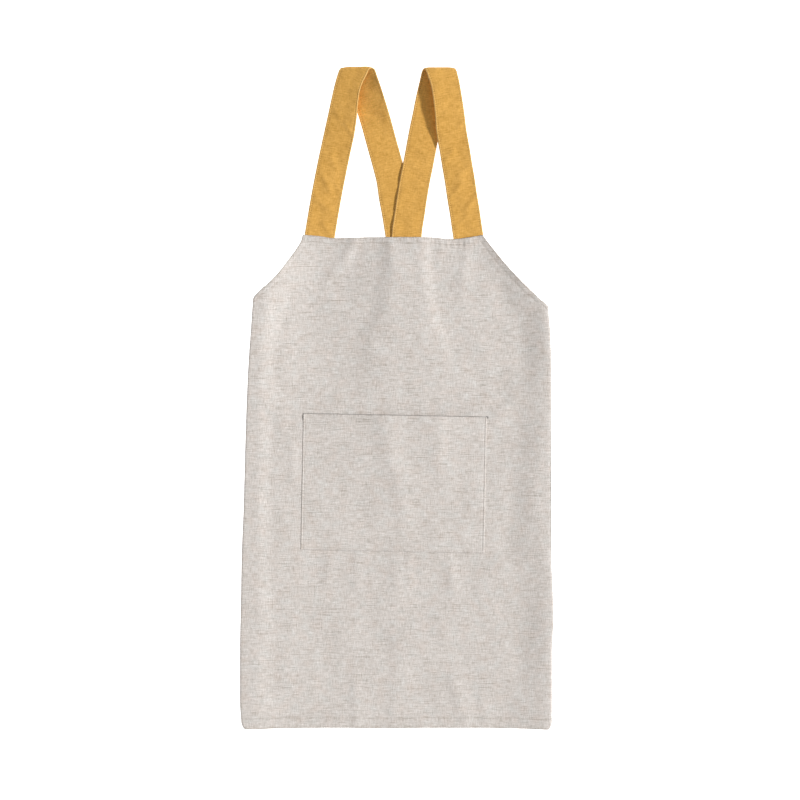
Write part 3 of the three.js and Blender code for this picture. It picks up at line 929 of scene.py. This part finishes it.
def cloth_wall(name, grid, finish):
    """A closed wall over a grid of columns and rows, some without points: each point is moved out and in
    along the mean normal of the faces round it, and a half-round rim joins the two faces wherever the grid
    ends. A grid point holds x, y, z, its outer and inner distance, nearness to an edge for the painted edge
    shade, and flat place."""
    there = ~np.isnan(grid[..., 0])
    count = int(there.sum())
    number = np.cumsum(there).reshape(there.shape) - 1
    rows = grid[there]
    mid, outer, inner, edge, flat = rows[:, :3], rows[:, 3:4], rows[:, 4:5], rows[:, 5], rows[:, 6:]
    full = there[:-1, :-1] & there[1:, :-1] & there[1:, 1:] & there[:-1, 1:]
    corners = (number[:-1, :-1], number[1:, :-1], number[1:, 1:], number[:-1, 1:])
    quads = np.stack([corner[full] for corner in corners], axis=-1)
    diagonals = np.cross(mid[quads[:, 2]] - mid[quads[:, 0]], mid[quads[:, 3]] - mid[quads[:, 1]])
    normal = np.zeros_like(mid)
    for corner in range(4):
        np.add.at(normal, quads[:, corner], diagonals)
    normal = unit(normal)

    edges = np.concatenate([quads[:, [i, (i + 1) % 4]] for i in range(4)])
    middles = np.tile(mid[quads].mean(axis=1), (4, 1))
    open_edge = ~np.isin(edges @ [count, 1], edges @ [1, count])
    edges = edges[open_edge]
    along = unit(mid[edges[:, 1]] - mid[edges[:, 0]])
    away = mid[edges[:, 0]] - middles[open_edge]
    away = away - along * np.sum(away * along, axis=1, keepdims=True)
    outward = np.zeros_like(mid)
    for end in range(2):
        np.add.at(outward, edges[:, end], unit(away))
    rim = np.unique(edges)
    outward = unit(outward[rim] - normal[rim] * np.sum(outward[rim] * normal[rim], axis=1, keepdims=True))
    middle = mid[rim] + normal[rim] * (outer - inner)[rim] / 2
    rim_points = middle + outward * (outer + inner)[rim] / 2

    points = np.concatenate([mid + normal * outer, mid - normal * inner, rim_points])
    rim_number = np.zeros(count, dtype=int)
    rim_number[rim] = 2 * count + np.arange(len(rim))
    start, end = edges.T
    faces = np.concatenate([
        quads,
        quads[:, ::-1] + count,
        np.stack([rim_number[start], rim_number[end], end, start], axis=-1),
        np.stack([start + count, end + count, rim_number[end], rim_number[start]], axis=-1),
    ])
    flat_all = np.concatenate([flat, flat, flat[rim]])
    edge_all = np.concatenate([edge, edge, edge[rim]])
    return add_piece(name, points, faces.tolist(), finish, flat_all, edge_all)


# Stitching

def stitch_places(points, normals, pitch):
    """Evenly spaced stitches along a line of points: their middles, headings and upward normals."""
    step = np.linalg.norm(np.diff(points, axis=0), axis=1)
    run = np.concatenate([[0], np.cumsum(step)])
    count = int(run[-1] // pitch)
    at = (np.arange(count) + 0.5) * run[-1] / count

    def along_line(values, places):
        return np.stack([np.interp(places, run, values[:, axis]) for axis in range(3)], axis=-1)

    heading = unit(along_line(points, at + 0.5) - along_line(points, at - 0.5))
    up = along_line(normals, at)
    up = unit(up - heading * np.sum(up * heading, axis=1, keepdims=True))
    return np.stack([along_line(points, at), heading, up], axis=1)


def stitch_piece(name, places, size, finish):
    """Stitches as one mesh: each is a six-sided spindle of four rings and two tips along its heading, whose
    radius follows an ellipse and whose ends dip into the cloth."""
    sides = 6
    ring = np.array([-0.8, -0.32, 0.32, 0.8])
    taper = 0.9
    ring_sink = 1.1
    tip_sink = 1.3
    angle = 2 * pi * np.arange(sides) / sides
    radius = size.thickness / MM / 2
    half = size.length / MM / 2
    profile = radius * np.sqrt(1 - ring**2 * taper)
    dip = radius * ring_sink * ring**2
    ring_along = np.repeat(ring * half, sides)
    ring_across = (profile[:, None] * np.cos(angle)).ravel()
    ring_up = (profile[:, None] * np.sin(angle) - dip[:, None]).ravel()
    local_along = np.concatenate([ring_along, [-half, half]])
    local_across = np.concatenate([ring_across, [0, 0]])
    local_up = np.concatenate([ring_up, [-tip_sink * radius, -tip_sink * radius]])

    middle, heading, up = places[:, 0], places[:, 1], places[:, 2]
    across = np.cross(up, heading)
    points = (
        middle[:, None]
        + heading[:, None] * local_along[:, None]
        + across[:, None] * local_across[:, None]
        + up[:, None] * local_up[:, None]
    )
    near = np.arange(sides)
    far = (near + 1) % sides
    bands = np.concatenate([
        np.stack([near + k * sides, near + (k + 1) * sides, far + (k + 1) * sides, far + k * sides], axis=-1)
        for k in range(len(ring) - 1)
    ])
    last = (len(ring) - 1) * sides
    tip = len(ring) * sides
    tips = np.concatenate([
        np.stack([near * 0 + tip, near, far], axis=-1),
        np.stack([near * 0 + tip + 1, far + last, near + last], axis=-1),
    ])
    first = np.arange(len(places))[:, None, None] * len(local_along)
    faces = (bands + first).reshape(-1, 4).tolist() + (tips + first).reshape(-1, 3).tolist()
    return add_piece(name, points.reshape(-1, 3), faces, finish)


def lifted(points, normals, lift):
    """A line of points moved along its normals, with the normals."""
    return points + normals * lift, normals


def front_line(x, y, lift):
    """A line on the outer face of the front, through places given by x and y."""
    points = np.stack([x, y, front_height(x, y)], axis=-1)
    return lifted(points, surface_normal(front_height, x, y), lift)


def side_line(side, turn, inward, y, upward, lift):
    """A line on the outer face of a side's fold and wing."""
    points = side_place(side, turn, inward, y, upward)
    half = (front_height(side.sign * ridge_out(side, y), y) - WING_MID) / 2
    out, up = fold_round(side, turn)
    normal_x = side.sign * out ** (side.square - 1) / smooth(side.ridge, "y", "reach", y)
    normal_z = np.sign(up) * np.abs(up) ** (side.square - 1) / half
    normals = np.stack(np.broadcast_arrays(normal_x, 0 * y, normal_z), axis=-1)
    return lifted(points, unit(normals), lift)


def body_lines(cloth):
    """Stitch lines of the body: bib top, armholes, hem, and the tops and back edges of the wings."""
    bib_share = 0.97
    below_bib = 10
    lift = (cloth.wall / 2 - cloth.dip) / MM
    fine = np.linspace(-1, 1, FRONT_POINTS)
    bib = front_spread(bib_share * fine, np.full(FRONT_POINTS, 2.0))
    lines = [front_line(bib.x, bib.y - cloth.bib_hem / MM, lift)]
    hem = front_spread(fine, np.zeros(FRONT_POINTS))
    lines.append(front_line(hem.x, hem.y + cloth.bottom_hem / MM, lift))
    share = np.linspace(0, 1, SIDE_POINTS)
    flat = np.zeros(SIDE_POINTS)
    for side in (LEFT_SIDE, RIGHT_SIDE):
        end = smooth(BIB_TOP, "share", "y", np.float64(side.sign)) - below_bib
        y = side.corner + (end - side.corner) * share
        lean = (ridge_out(side, y + 1) - ridge_out(side, y - 1)) / 2
        x = side.sign * (ridge_out(side, y) - cloth.armhole_hem / MM * np.hypot(1, lean))
        lines.append(front_line(x, y, lift))
        turn = np.minimum(share * SIDE_PARTS, 1) * pi
        inward = np.maximum(share * SIDE_PARTS - 1, 0) / (SIDE_PARTS - 1)
        low, high = side_span(side, turn, inward)
        lines.append(side_line(side, turn, inward, high - cloth.armhole_hem / MM, flat + 1, lift))
        lines.append(side_line(side, turn, inward, low + cloth.bottom_hem / MM, flat, lift))
        edge = flat + 1 - cloth.back_hem / MM / wing_length(side)
        low, high = side_span(side, pi, edge)
        lines.append(side_line(side, pi, edge, low + (high - low) * share, share, lift))
    return lines


def pocket_line(across, upward, lift):
    """A line on the outer face of the pocket, by share across and upward."""
    x, y = pocket_spread(across, upward)
    points = np.stack([x, y, pocket_height(across, upward)], axis=-1)
    return lifted(points, surface_normal(front_height, x, y), lift)


def pocket_lines(cloth):
    """Stitch lines of the pocket: its two sides and bottom, and the hem of its mouth."""
    lift = (cloth.pocket_wall / 2 - cloth.dip) / MM
    fine = np.linspace(0, 1, SIDE_POINTS)
    flat = np.zeros(SIDE_POINTS)
    in_x = 1 - 2 * cloth.pocket_edge / MM / POCKET.width
    in_y = cloth.pocket_edge / MM / POCKET.height
    mouth = 1 - cloth.mouth_hem / MM / POCKET.height
    return [
        pocket_line(flat - in_x, in_y + (1 - in_y) * fine, lift),
        pocket_line(flat + in_x, in_y + (1 - in_y) * fine, lift),
        pocket_line(in_x * (2 * fine - 1), flat + in_y, lift),
        pocket_line(in_x * (2 * fine - 1), flat + mouth, lift),
    ]


def strap_stitch_places(strap, straps, pitch):
    """Stitches of a strap at whole pitches along its ribbon, by both edges, on its outer and inner face."""
    runs = strap_runs(strap)
    length = pitch * np.arange(np.ceil(runs.start / pitch) + 1, runs.end // pitch)
    lift = (straps.wall / 2 - straps.dip) / MM
    places = []
    for edge in (-1, 1):
        sideways = np.full(len(length), edge * seam_inset(straps) / MM)
        points, normals = strap_place(strap, length, sideways)
        heading = unit(strap_place(strap, length + 0.5, sideways)[0] - points)
        for face in (1, -1):
            places.append(np.stack([points + face * lift * normals, heading, face * normals], axis=1))
    return np.concatenate(places)


def bartack_places(cloth):
    """Close cross stitches at both ends of the pocket's mouth: a short stack, square to the pocket's side."""
    up = 1 - np.linspace(BARTACK.first, BARTACK.last, BARTACK.count) / POCKET.height
    inset = 1 - 2 * cloth.pocket_edge / MM / POCKET.width
    stacks = []
    for sign in (-1, 1):
        across = np.full(BARTACK.count, sign * inset)
        points, normals = pocket_line(across, up, cloth.pocket_wall / MM / 2)
        heading = np.tile([1.0, 0.0, 0.0], (BARTACK.count, 1))
        heading = unit(heading - normals * normals[:, :1])
        stacks.append(np.stack([points, heading, normals], axis=1))
    return np.concatenate(stacks)


# Finishes

class Wire:
    """A socket in a finish's node tree: arithmetic on it adds Math nodes."""

    def __init__(self, tree, socket=None):
        self.tree = tree
        self.socket = socket

    def node(self, kind, settings=None, inputs=None, output=0):
        """A new node of a kind: its settings, then its inputs as values or wires. Gives one output."""
        made = self.tree.nodes.new(kind)
        for name, value in (settings or {}).items():
            setattr(made, name, value)
        for name, value in (inputs or {}).items():
            if isinstance(value, Wire):
                self.tree.links.new(value.socket, made.inputs[name])
            else:
                made.inputs[name].default_value = value
        return Wire(self.tree, made.outputs[output])

    def math(self, operation, *values):
        """A Math node on several values."""
        return self.node("ShaderNodeMath", {"operation": operation}, dict(enumerate(values)))

    def __add__(self, other):
        return self.math("ADD", self, other)

    __radd__ = __add__

    def __sub__(self, other):
        return self.math("SUBTRACT", self, other)

    def __rsub__(self, other):
        return self.math("SUBTRACT", other, self)

    def __mul__(self, other):
        return self.math("MULTIPLY", self, other)

    __rmul__ = __mul__

    def size(self):
        """This value without its sign."""
        return self.math("ABSOLUTE", self)

    def parts(self):
        """The first two parts of this vector."""
        return [self.node("ShaderNodeSeparateXYZ", None, {"Vector": self}, output=axis) for axis in "XY"]

    def between(self, low, high):
        """A smooth step of this value, from 0 at low to 1 at high."""
        settings = {"interpolation_type": "SMOOTHSTEP"}
        return self.node("ShaderNodeMapRange", settings, {"Value": self, "From Min": low, "From Max": high})

    def blend(self, low, high):
        """The colour between two others, by this value."""
        settings = {"data_type": "RGBA", "clamp_factor": True}
        return self.node("ShaderNodeMix", settings, {0: self, 6: low, 7: high}, output=2)

    def noise(self, scale, detail=2.0, place=(0, 0, 0)):
        """Noise about 0 over this vector, with so many waves to the metre along each axis."""
        laid = self.node("ShaderNodeMapping", None, {"Vector": self, "Location": place, "Scale": scale})
        return self.node("ShaderNodeTexNoise", None, {"Vector": laid, "Scale": 1.0, "Detail": detail}) - 0.5

    def feed(self, shader, name):
        """Link this to an input of a shader."""
        self.tree.links.new(self.socket, shader.inputs[name])


def new_finish(name):
    """A material with one shader, and a wire to build its node tree from."""
    finish = bpy.data.materials.new(name)
    finish.use_nodes = True
    return finish, finish.node_tree.nodes["Principled BSDF"], Wire(finish.node_tree)


def thread_weave(place, threads):
    """Plain weave: the product of two sine waves along the cloth's own two directions."""
    across, along = [part * (2 * pi * threads) for part in place.parts()]
    return across.math("SINE", across) * along.math("SINE", along)


def cloth_surface(shader, place, colour, weave, bump, roughness, sheen):
    """Feed a cloth's shader: its colour, its weave as a bump of a given strength, and a dull soft surface."""
    colour.feed(shader, "Base Color")
    relief = {"Strength": bump, "Distance": WEAVE_DEPTH * MM, "Height": weave}
    place.node("ShaderNodeBump", None, relief).feed(shader, "Normal")
    roughness.feed(shader, "Roughness")
    shader.inputs["Specular IOR Level"].default_value = 0.2
    shader.inputs["Sheen Weight"].default_value = sheen


def painted_pocket_shade(place):
    """Painted shade on the front round the pocket, where its edges and the gap of its mouth cast shade: a
    narrow line where the distance to a rectangle is near 0, the larger of the distances past its two pairs of
    sides, in the pocket's own turned directions. It is darkest along the mouth, ends in a dark spot at the
    mouth's right, and lies under the pocket on that side."""
    line = POCKET_SHADE_LINE
    half_x = (POCKET.width - line.inset - line.hidden) / 2 * MM
    half_y = POCKET.height / 2 * MM
    middle = POCKET.x + (line.inset - line.hidden) / 2
    centre = (-middle * MM, -POCKET.y * MM, 0)
    moved = place.node("ShaderNodeVectorMath", {"operation": "ADD"}, {0: place, 1: centre})
    turn = {"Vector": moved, "Axis": (0, 0, 1), "Angle": -POCKET.turn}
    turned = place.node("ShaderNodeVectorRotate", None, turn)
    across, upward = turned.parts()
    away = place.math("MAXIMUM", across.size() - half_x, upward.size() - half_y)
    seam = 1 - away.size().between(*(MM * edge for edge in line.fade))
    mouth = upward.between(*(half_y - MM * below for below in line.mouth_below))
    corner = (half_x + (line.hidden + line.end_spot_past) * MM, half_y, 0)
    ends = {0: turned, 1: corner}
    gap = place.node("ShaderNodeVectorMath", {"operation": "DISTANCE"}, ends, output="Value")
    # knot here is the dark spot at the mouth's right end
    knot = 1 - gap.between(*(MM * edge for edge in line.end_spot_fade))
    return place.math("MAXIMUM", seam * (line.shade + mouth * line.mouth_shade), knot * line.end_spot_shade)


def linen_finish(colours):
    """Heathered linen canvas: light and dark threads run both ways, over soft patches of grey and blush,
    with dark slubs along the weft and a fine plain weave. Shade is painted along the cloth's edges and stitch
    lines, and in a line round the pocket's seam that is darkest at its mouth."""
    finish, shader, wire = new_finish("heathered_linen")
    place = wire.node("ShaderNodeUVMap", {"uv_map": "cloth"})
    weft = place.noise((80, 680, 1), 2.0)
    warp = place.noise((680, 105, 1), 2.0, (3, 7, 0))
    grain = place.noise((760, 760, 1), 1.0, (6, 4, 0))
    slub = place.noise((26, 560, 1), 1.0, (11, 2, 0)).between(0.08, 0.24)
    knot = place.noise((560, 36, 1), 1.0, (5, 19, 0)).between(0.1, 0.26)
    cloud = place.noise((26, 26, 1), 3.0, (1, 1, 4))
    blush = place.noise((62, 62, 1), 2.0, (8, 3, 9))
    edge = wire.node("ShaderNodeAttribute", {"attribute_name": "edge"}, output="Fac")
    tone = 0.503 + weft * 0.84 + warp * 0.74 + grain * 0.55 + cloud * 0.12 - slub * 0.25 - knot * 0.16
    # Painted shade: darker towards the cloth's edges and along its stitch lines, dotted by the grain
    tone = tone - blush * 0.14 - edge * (0.22 - grain * 0.5)
    colour = tone.blend((*colours.linen_dark, 1), (*colours.linen_light, 1))
    warm = tone.blend((*colours.blush_dark, 1), (*colours.blush_light, 1))
    cool = tone.blend((*colours.grey_dark, 1), (*colours.grey_light, 1))
    colour = (blush.between(0.0, 0.2) * 0.5).blend(colour, warm)
    colour = ((0 - blush).between(0.0, 0.2) * 0.5).blend(colour, cool)
    # Painted shade on the front round the pocket's edges and in the gap of its mouth
    colour = painted_pocket_shade(place).blend(colour, (0, 0, 0, 1))
    relief = thread_weave(place, threads=900) * 0.5 + weft + warp + slub * 0.5
    cloth_surface(shader, place, colour, relief, bump=0.3, roughness=0.9 - weft * 0.12, sheen=0.12)
    return finish


def needle_hole_shade(place, straps, stitches):
    """Painted shade in the needle holes between the stitches of a strap, fainter on the right: near 0 in the
    distance to points a pitch apart along the two stitch lines, from the place across and the length along
    the ribbon."""
    across, along = place.parts()
    aside = across.size() - seam_inset(straps)
    between = (along.math("FRACT", along * (1 / stitches.pitch)) - 0.5) * stitches.pitch
    away = place.math("SQRT", aside * aside + between * between)
    hole_shade = 1 - away.between(*(MM * edge for edge in HOLE_SHADE_FADE))
    right = across.between(-MM, MM)
    return hole_shade * (1 - right * (1 - RIGHT_SEAM))


def mustard_finish(colours, straps, stitches):
    """Mustard canvas: fine threads both ways, faded and darker patches, folded edges blended towards a paler
    colour with a little painted shade, and a row of needle holes along both, with painted shade in them."""
    finish, shader, wire = new_finish("mustard_canvas")
    place = wire.node("ShaderNodeUVMap", {"uv_map": "cloth"})
    weft = place.noise((110, 560, 1), 2.0)
    warp = place.noise((560, 130, 1), 2.0, (4, 9, 0))
    slub = place.noise((60, 420, 1), 1.0, (2, 13, 0)).between(0.12, 0.3)
    cloud = place.noise((34, 46, 1), 2.0, (7, 1, 0))
    edge = wire.node("ShaderNodeAttribute", {"attribute_name": "edge"}, output="Fac")
    hole_shade = needle_hole_shade(place, straps, stitches)
    # Painted shade: dark in the needle holes, and a little darker at the edges
    tone = 0.56 + weft * 0.8 + warp * 0.55 + cloud * 0.3 - slub * 0.18 - edge * 0.06 - hole_shade * 0.42
    colour = tone.blend((*colours.mustard_dark, 1), (*colours.mustard_light, 1))
    # Edges blended towards a paler colour
    colour = (edge * 0.45).blend(colour, (*colours.mustard_pale_edge, 1))
    relief = thread_weave(place, threads=850) * 0.5 + weft + warp * 0.7 + slub * 0.5
    cloth_surface(shader, place, colour, relief, bump=0.35, roughness=0.88 - weft * 0.12, sheen=0.08)
    return finish


def thread_finish(name, dark, light):
    """Sewing thread: a twist of two tones along short waves in place."""
    finish, shader, wire = new_finish(name)
    place = wire.node("ShaderNodeTexCoord", None, None, output="Object")
    tone = 0.5 + place.noise((900, 900, 900), 1.0) * 1.2
    tone.blend((*dark, 1), (*light, 1)).feed(shader, "Base Color")
    shader.inputs["Roughness"].default_value = 0.7
    shader.inputs["Specular IOR Level"].default_value = 0.3
    return finish


def floor_finish(colours):
    """Plain pale floor, lit a little from below, with the faintest unevenness of tone."""
    finish, shader, wire = new_finish("pale_floor")
    place = wire.node("ShaderNodeTexCoord", None, None, output="Object")
    tone = 0.5 + place.noise((6, 6, 6), 2.0)
    pale = np.array(colours.floor)
    tone.blend((*(pale * FLOOR_PATCH), 1), (*pale, 1)).feed(shader, "Base Color")
    shader.inputs["Emission Color"].default_value = (1, 1, 1, 1)
    shader.inputs["Emission Strength"].default_value = FLOOR_GLOW
    shader.inputs["Roughness"].default_value = 0.95
    shader.inputs["Specular IOR Level"].default_value = 0.1
    return finish


def shared_finish(name, make, *values):
    """A finish that is made once and then used by name."""
    return bpy.data.materials.get(name) or make(*values)


# Settings

def length(name, description, default):
    """A length setting in metres."""
    return FloatProperty(name=name, description=description, default=default, unit="LENGTH", precision=5)


def angle(name, description, default):
    """An angle setting, from degrees."""
    return FloatProperty(name=name, description=description, default=radians(default), subtype="ANGLE")


def amount(name, description, default):
    """A setting that is a plain number."""
    return FloatProperty(name=name, description=description, default=default)


def colour(name, description, default):
    """A colour setting in linear light."""
    return FloatVectorProperty(
        name=name, description=description, default=default, subtype="COLOR", min=0, max=1
    )


class ApronClothSettings(bpy.types.PropertyGroup):
    """Sizes of the body cloth, its hems and the pocket's edges."""

    wall: length("Cloth", "Thickness of the body cloth", 0.0007)
    layers: length("Turned layers", "Thickness that a turned edge adds inside", 0.0006)
    pocket_wall: length("Pocket cloth", "Thickness of the pocket cloth", 0.0004)
    pocket_layers: length("Pocket layers", "Thickness that the pocket's turned edge adds inside", 0.00006)
    swell: length("Swell", "Height of a turned edge over its stitch line", 0.00027)
    dip: length("Dip", "Depth of a stitch line in the cloth", 0.00024)
    bib_hem: length("Bib hem", "Stitch line's distance from the bib's top", 0.0084)
    armhole_hem: length("Armhole hem", "Stitch line's distance from an armhole", 0.0076)
    bottom_hem: length("Bottom hem", "Stitch line's distance from the hem", 0.015)
    back_hem: length("Back hem", "Stitch line's distance from a wing's back edge", 0.0076)
    pocket_edge: length("Pocket edge", "Stitch line's distance from the pocket's sides", 0.0026)
    mouth_hem: length("Mouth hem", "Stitch line's distance from the pocket's mouth", 0.012)


class ApronStrapSettings(bpy.types.PropertyGroup):
    """Sizes of the shoulder straps."""

    width: length("Width", "Width of a strap", 0.0464)
    wall: length("Strap", "Thickness of the doubled strap", 0.0016)
    seam: length("Edge seam", "Stitch line's distance from a strap's edges", 0.0026)
    swell: length("Swell", "Height of a strap's edge over its stitch line", 0.00022)
    dip: length("Dip", "Depth of a strap's stitch line", 0.00025)
    rows: IntProperty(name="Rows", description="Grid rows along a strap", default=360, min=50)


class ApronStitchSettings(bpy.types.PropertyGroup):
    """Sizes of a stitch."""

    pitch: length("Pitch", "Distance from one stitch to the next", 0.0034)
    length: length("Length", "Length of a stitch", 0.0024)
    thickness: length("Thread", "Thickness of the thread", 0.0006)


class ApronColourSettings(bpy.types.PropertyGroup):
    """Colours of the canvas, the straps, their threads and the floor."""

    linen_light: colour("Linen light", "Light threads of the linen", (0.850, 0.80, 0.769))
    linen_dark: colour("Linen dark", "Dark threads of the linen", (0.352, 0.312, 0.268))
    blush_light: colour("Blush light", "Light threads of warm patches", (0.874, 0.79, 0.744))
    blush_dark: colour("Blush dark", "Dark threads of warm patches", (0.366, 0.307, 0.255))
    grey_light: colour("Grey light", "Light threads of cool patches", (0.825, 0.81, 0.789))
    grey_dark: colour("Grey dark", "Dark threads of cool patches", (0.337, 0.317, 0.280))
    linen_thread: colour("Linen thread", "Thread of the body's seams", (0.62, 0.57, 0.52))
    mustard_light: colour("Mustard light", "Light threads of the straps", (0.87, 0.493, 0.131))
    mustard_dark: colour("Mustard dark", "Dark threads of the straps", (0.35, 0.17, 0.014))
    # Paler colour that the straps' edges are blended towards
    mustard_pale_edge: colour("Mustard worn", "Worn edges of the straps", (0.62, 0.43, 0.19))
    mustard_thread: colour("Mustard thread", "Thread of the straps' seams", (0.82, 0.48, 0.15))
    floor: colour("Floor", "Pale floor under the apron", (0.9, 0.9, 0.9))


class ApronStageSettings(bpy.types.PropertyGroup):
    """The light, the floor and the camera."""

    sun_height: angle("Light height", "Height of the main light", 34)
    sun_turn: angle("Light turn", "Turn of the main light from +X", 0)
    sun_spread: angle("Light spread", "How wide the main light is", 7)
    sun_strength: amount("Light strength", "Strength of the main light", 3.75)
    sky_strength: amount("Fill strength", "Strength of the even fill", 0.44)
    floor_size: length("Floor size", "Side of the floor", 8.0)
    view_width: length("View width", "Width of what the camera sees of the cloth", 1.2208)
    view_x: length("View middle x", "Middle of the camera's view, across", 0.0046)
    view_y: length("View middle y", "Middle of the camera's view, upward", -0.003)
    view_height: length("View height", "Height over the floor where the view has that width", 0.01)
    lens: amount("Lens", "Focal length in millimetres", 150)


# Operators

class APRON_OT_body(bpy.types.Operator):
    """Make the body cloth with its bib, side folds and back wings"""

    bl_idname = "apron.make_body"
    bl_label = "Make body"

    def execute(self, context):
        finish = shared_finish("heathered_linen", linen_finish, context.scene.apron_colours)
        body = cloth_wall("body_cloth", body_wall(context.scene.apron_cloth), finish)
        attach(body, "root")
        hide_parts("apron_body")
        return {"FINISHED"}


class APRON_OT_pocket(bpy.types.Operator):
    """Make the patch pocket on the front"""

    bl_idname = "apron.make_pocket"
    bl_label = "Make pocket"

    def execute(self, context):
        finish = shared_finish("heathered_linen", linen_finish, context.scene.apron_colours)
        pocket = cloth_wall("pocket_cloth", pocket_wall(context.scene.apron_cloth), finish)
        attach(pocket, "root")
        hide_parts("front_pocket")
        return {"FINISHED"}


class APRON_OT_straps(bpy.types.Operator):
    """Make both shoulder straps"""

    bl_idname = "apron.make_straps"
    bl_label = "Make straps"

    def execute(self, context):
        scene = context.scene
        straps = scene.apron_straps
        finish = mustard_finish(scene.apron_colours, straps, scene.apron_stitches)
        for strap in (LEFT_STRAP, RIGHT_STRAP):
            name = "strap_cloth_" + strap.side
            runs = strap_runs(strap)
            piece = cloth_wall(name, strap_wall(strap, straps), finish)
            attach(piece, "root")
            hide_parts("shoulder_strap_" + strap.side)
        return {"FINISHED"}


class APRON_OT_stitching(bpy.types.Operator):
    """Sew the hems, the pocket and the strap edges"""

    bl_idname = "apron.make_stitching"
    bl_label = "Make stitching"

    def execute(self, context):
        scene = context.scene
        size = scene.apron_stitches
        colours = scene.apron_colours
        pitch = size.pitch / MM
        linen = np.array(colours.linen_thread)
        mustard = np.array(colours.mustard_thread)
        linen_thread = thread_finish("linen_thread", linen * LINEN_PLY, linen)
        mustard_thread = thread_finish("mustard_thread", mustard * MUSTARD_PLY, mustard)
        body = [stitch_places(*line, pitch) for line in body_lines(scene.apron_cloth)]
        pocket = [stitch_places(*line, pitch) for line in pocket_lines(scene.apron_cloth)]
        pocket.append(bartack_places(scene.apron_cloth))
        made = [
            ("body_stitches", body, linen_thread, "body_canvas"),
            ("pocket_stitches", pocket, linen_thread, "body_canvas"),
        ]
        for strap in (LEFT_STRAP, RIGHT_STRAP):
            places = strap_stitch_places(strap, scene.apron_straps, pitch)
            made.append(("strap_stitches_" + strap.side, [places], mustard_thread, "strap_canvas"))
        for name, places, finish, slot in made:
            piece = stitch_piece(name, np.concatenate(places), size, finish)
            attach(piece, "root")
        return {"FINISHED"}


class APRON_OT_stage(bpy.types.Operator):
    """Make the floor, the light and the camera"""

    bl_idname = "apron.make_stage"
    bl_label = "Make stage"

    def execute(self, context):
        scene = context.scene
        stage = scene.apron_stage
        half = stage.floor_size / MM / 2
        corners = np.array([[-half, -half, 0], [half, -half, 0], [half, half, 0], [-half, half, 0]])
        floor = add_piece("floor", corners, [[0, 1, 2, 3]], floor_finish(scene.apron_colours))

        sun = bpy.data.lights.new("main_light", "SUN")
        sun.energy = stage.sun_strength
        sun.angle = stage.sun_spread
        light = bpy.data.objects.new("main_light", sun)
        light.rotation_euler = (0, pi / 2 - stage.sun_height, stage.sun_turn)
        context.collection.objects.link(light)

        world = bpy.data.worlds.new("even_fill")
        world.use_nodes = True
        world.node_tree.nodes["Background"].inputs["Color"].default_value = (1, 1, 1, 1)
        world.node_tree.nodes["Background"].inputs["Strength"].default_value = stage.sky_strength
        scene.world = world
        scene.view_settings.view_transform = "Standard"

        lens = bpy.data.cameras.new("photo_view")
        lens.lens = stage.lens
        lens.clip_end = 50
        camera = bpy.data.objects.new("photo_view", lens)
        distance = stage.view_width * stage.lens / lens.sensor_width
        camera.location = (stage.view_x, stage.view_y, distance + stage.view_height)
        context.collection.objects.link(camera)
        scene.camera = camera
        return {"FINISHED"}


class APRON_PT_panel(bpy.types.Panel):
    """Lists the settings and the making of each piece"""

    bl_idname = "APRON_PT_panel"
    bl_label = "Canvas apron"
    bl_space_type = "VIEW_3D"
    bl_region_type = "UI"
    bl_category = "Apron"

    def draw(self, context):
        for group in SETTINGS:
            settings = getattr(context.scene, group)
            box = self.layout.box()
            for name in settings.__annotations__:
                box.prop(settings, name)
        for operator in OPERATORS:
            self.layout.operator(operator.bl_idname)


SETTINGS = {
    "apron_cloth": ApronClothSettings,
    "apron_straps": ApronStrapSettings,
    "apron_stitches": ApronStitchSettings,
    "apron_colours": ApronColourSettings,
    "apron_stage": ApronStageSettings,
}
OPERATORS = (APRON_OT_body, APRON_OT_pocket, APRON_OT_straps, APRON_OT_stitching, APRON_OT_stage)


def register():
    """Register the settings, the operators and the panel."""
    for group, settings in SETTINGS.items():
        bpy.utils.register_class(settings)
        setattr(bpy.types.Scene, group, PointerProperty(type=settings))
    for operator in OPERATORS:
        bpy.utils.register_class(operator)
    bpy.utils.register_class(APRON_PT_panel)


def unregister():
    """Undo register, last first."""
    bpy.utils.unregister_class(APRON_PT_panel)
    for operator in reversed(OPERATORS):
        bpy.utils.unregister_class(operator)
    for group, settings in SETTINGS.items():
        delattr(bpy.types.Scene, group)
        bpy.utils.unregister_class(settings)


def main():
    """Register, make every piece and the stage."""
    register()
    bpy.ops.apron.make_body()
    bpy.ops.apron.make_pocket()
    bpy.ops.apron.make_straps()
    bpy.ops.apron.make_stitching()
    bpy.ops.apron.make_stage()


if __name__ == "__main__":
    main()
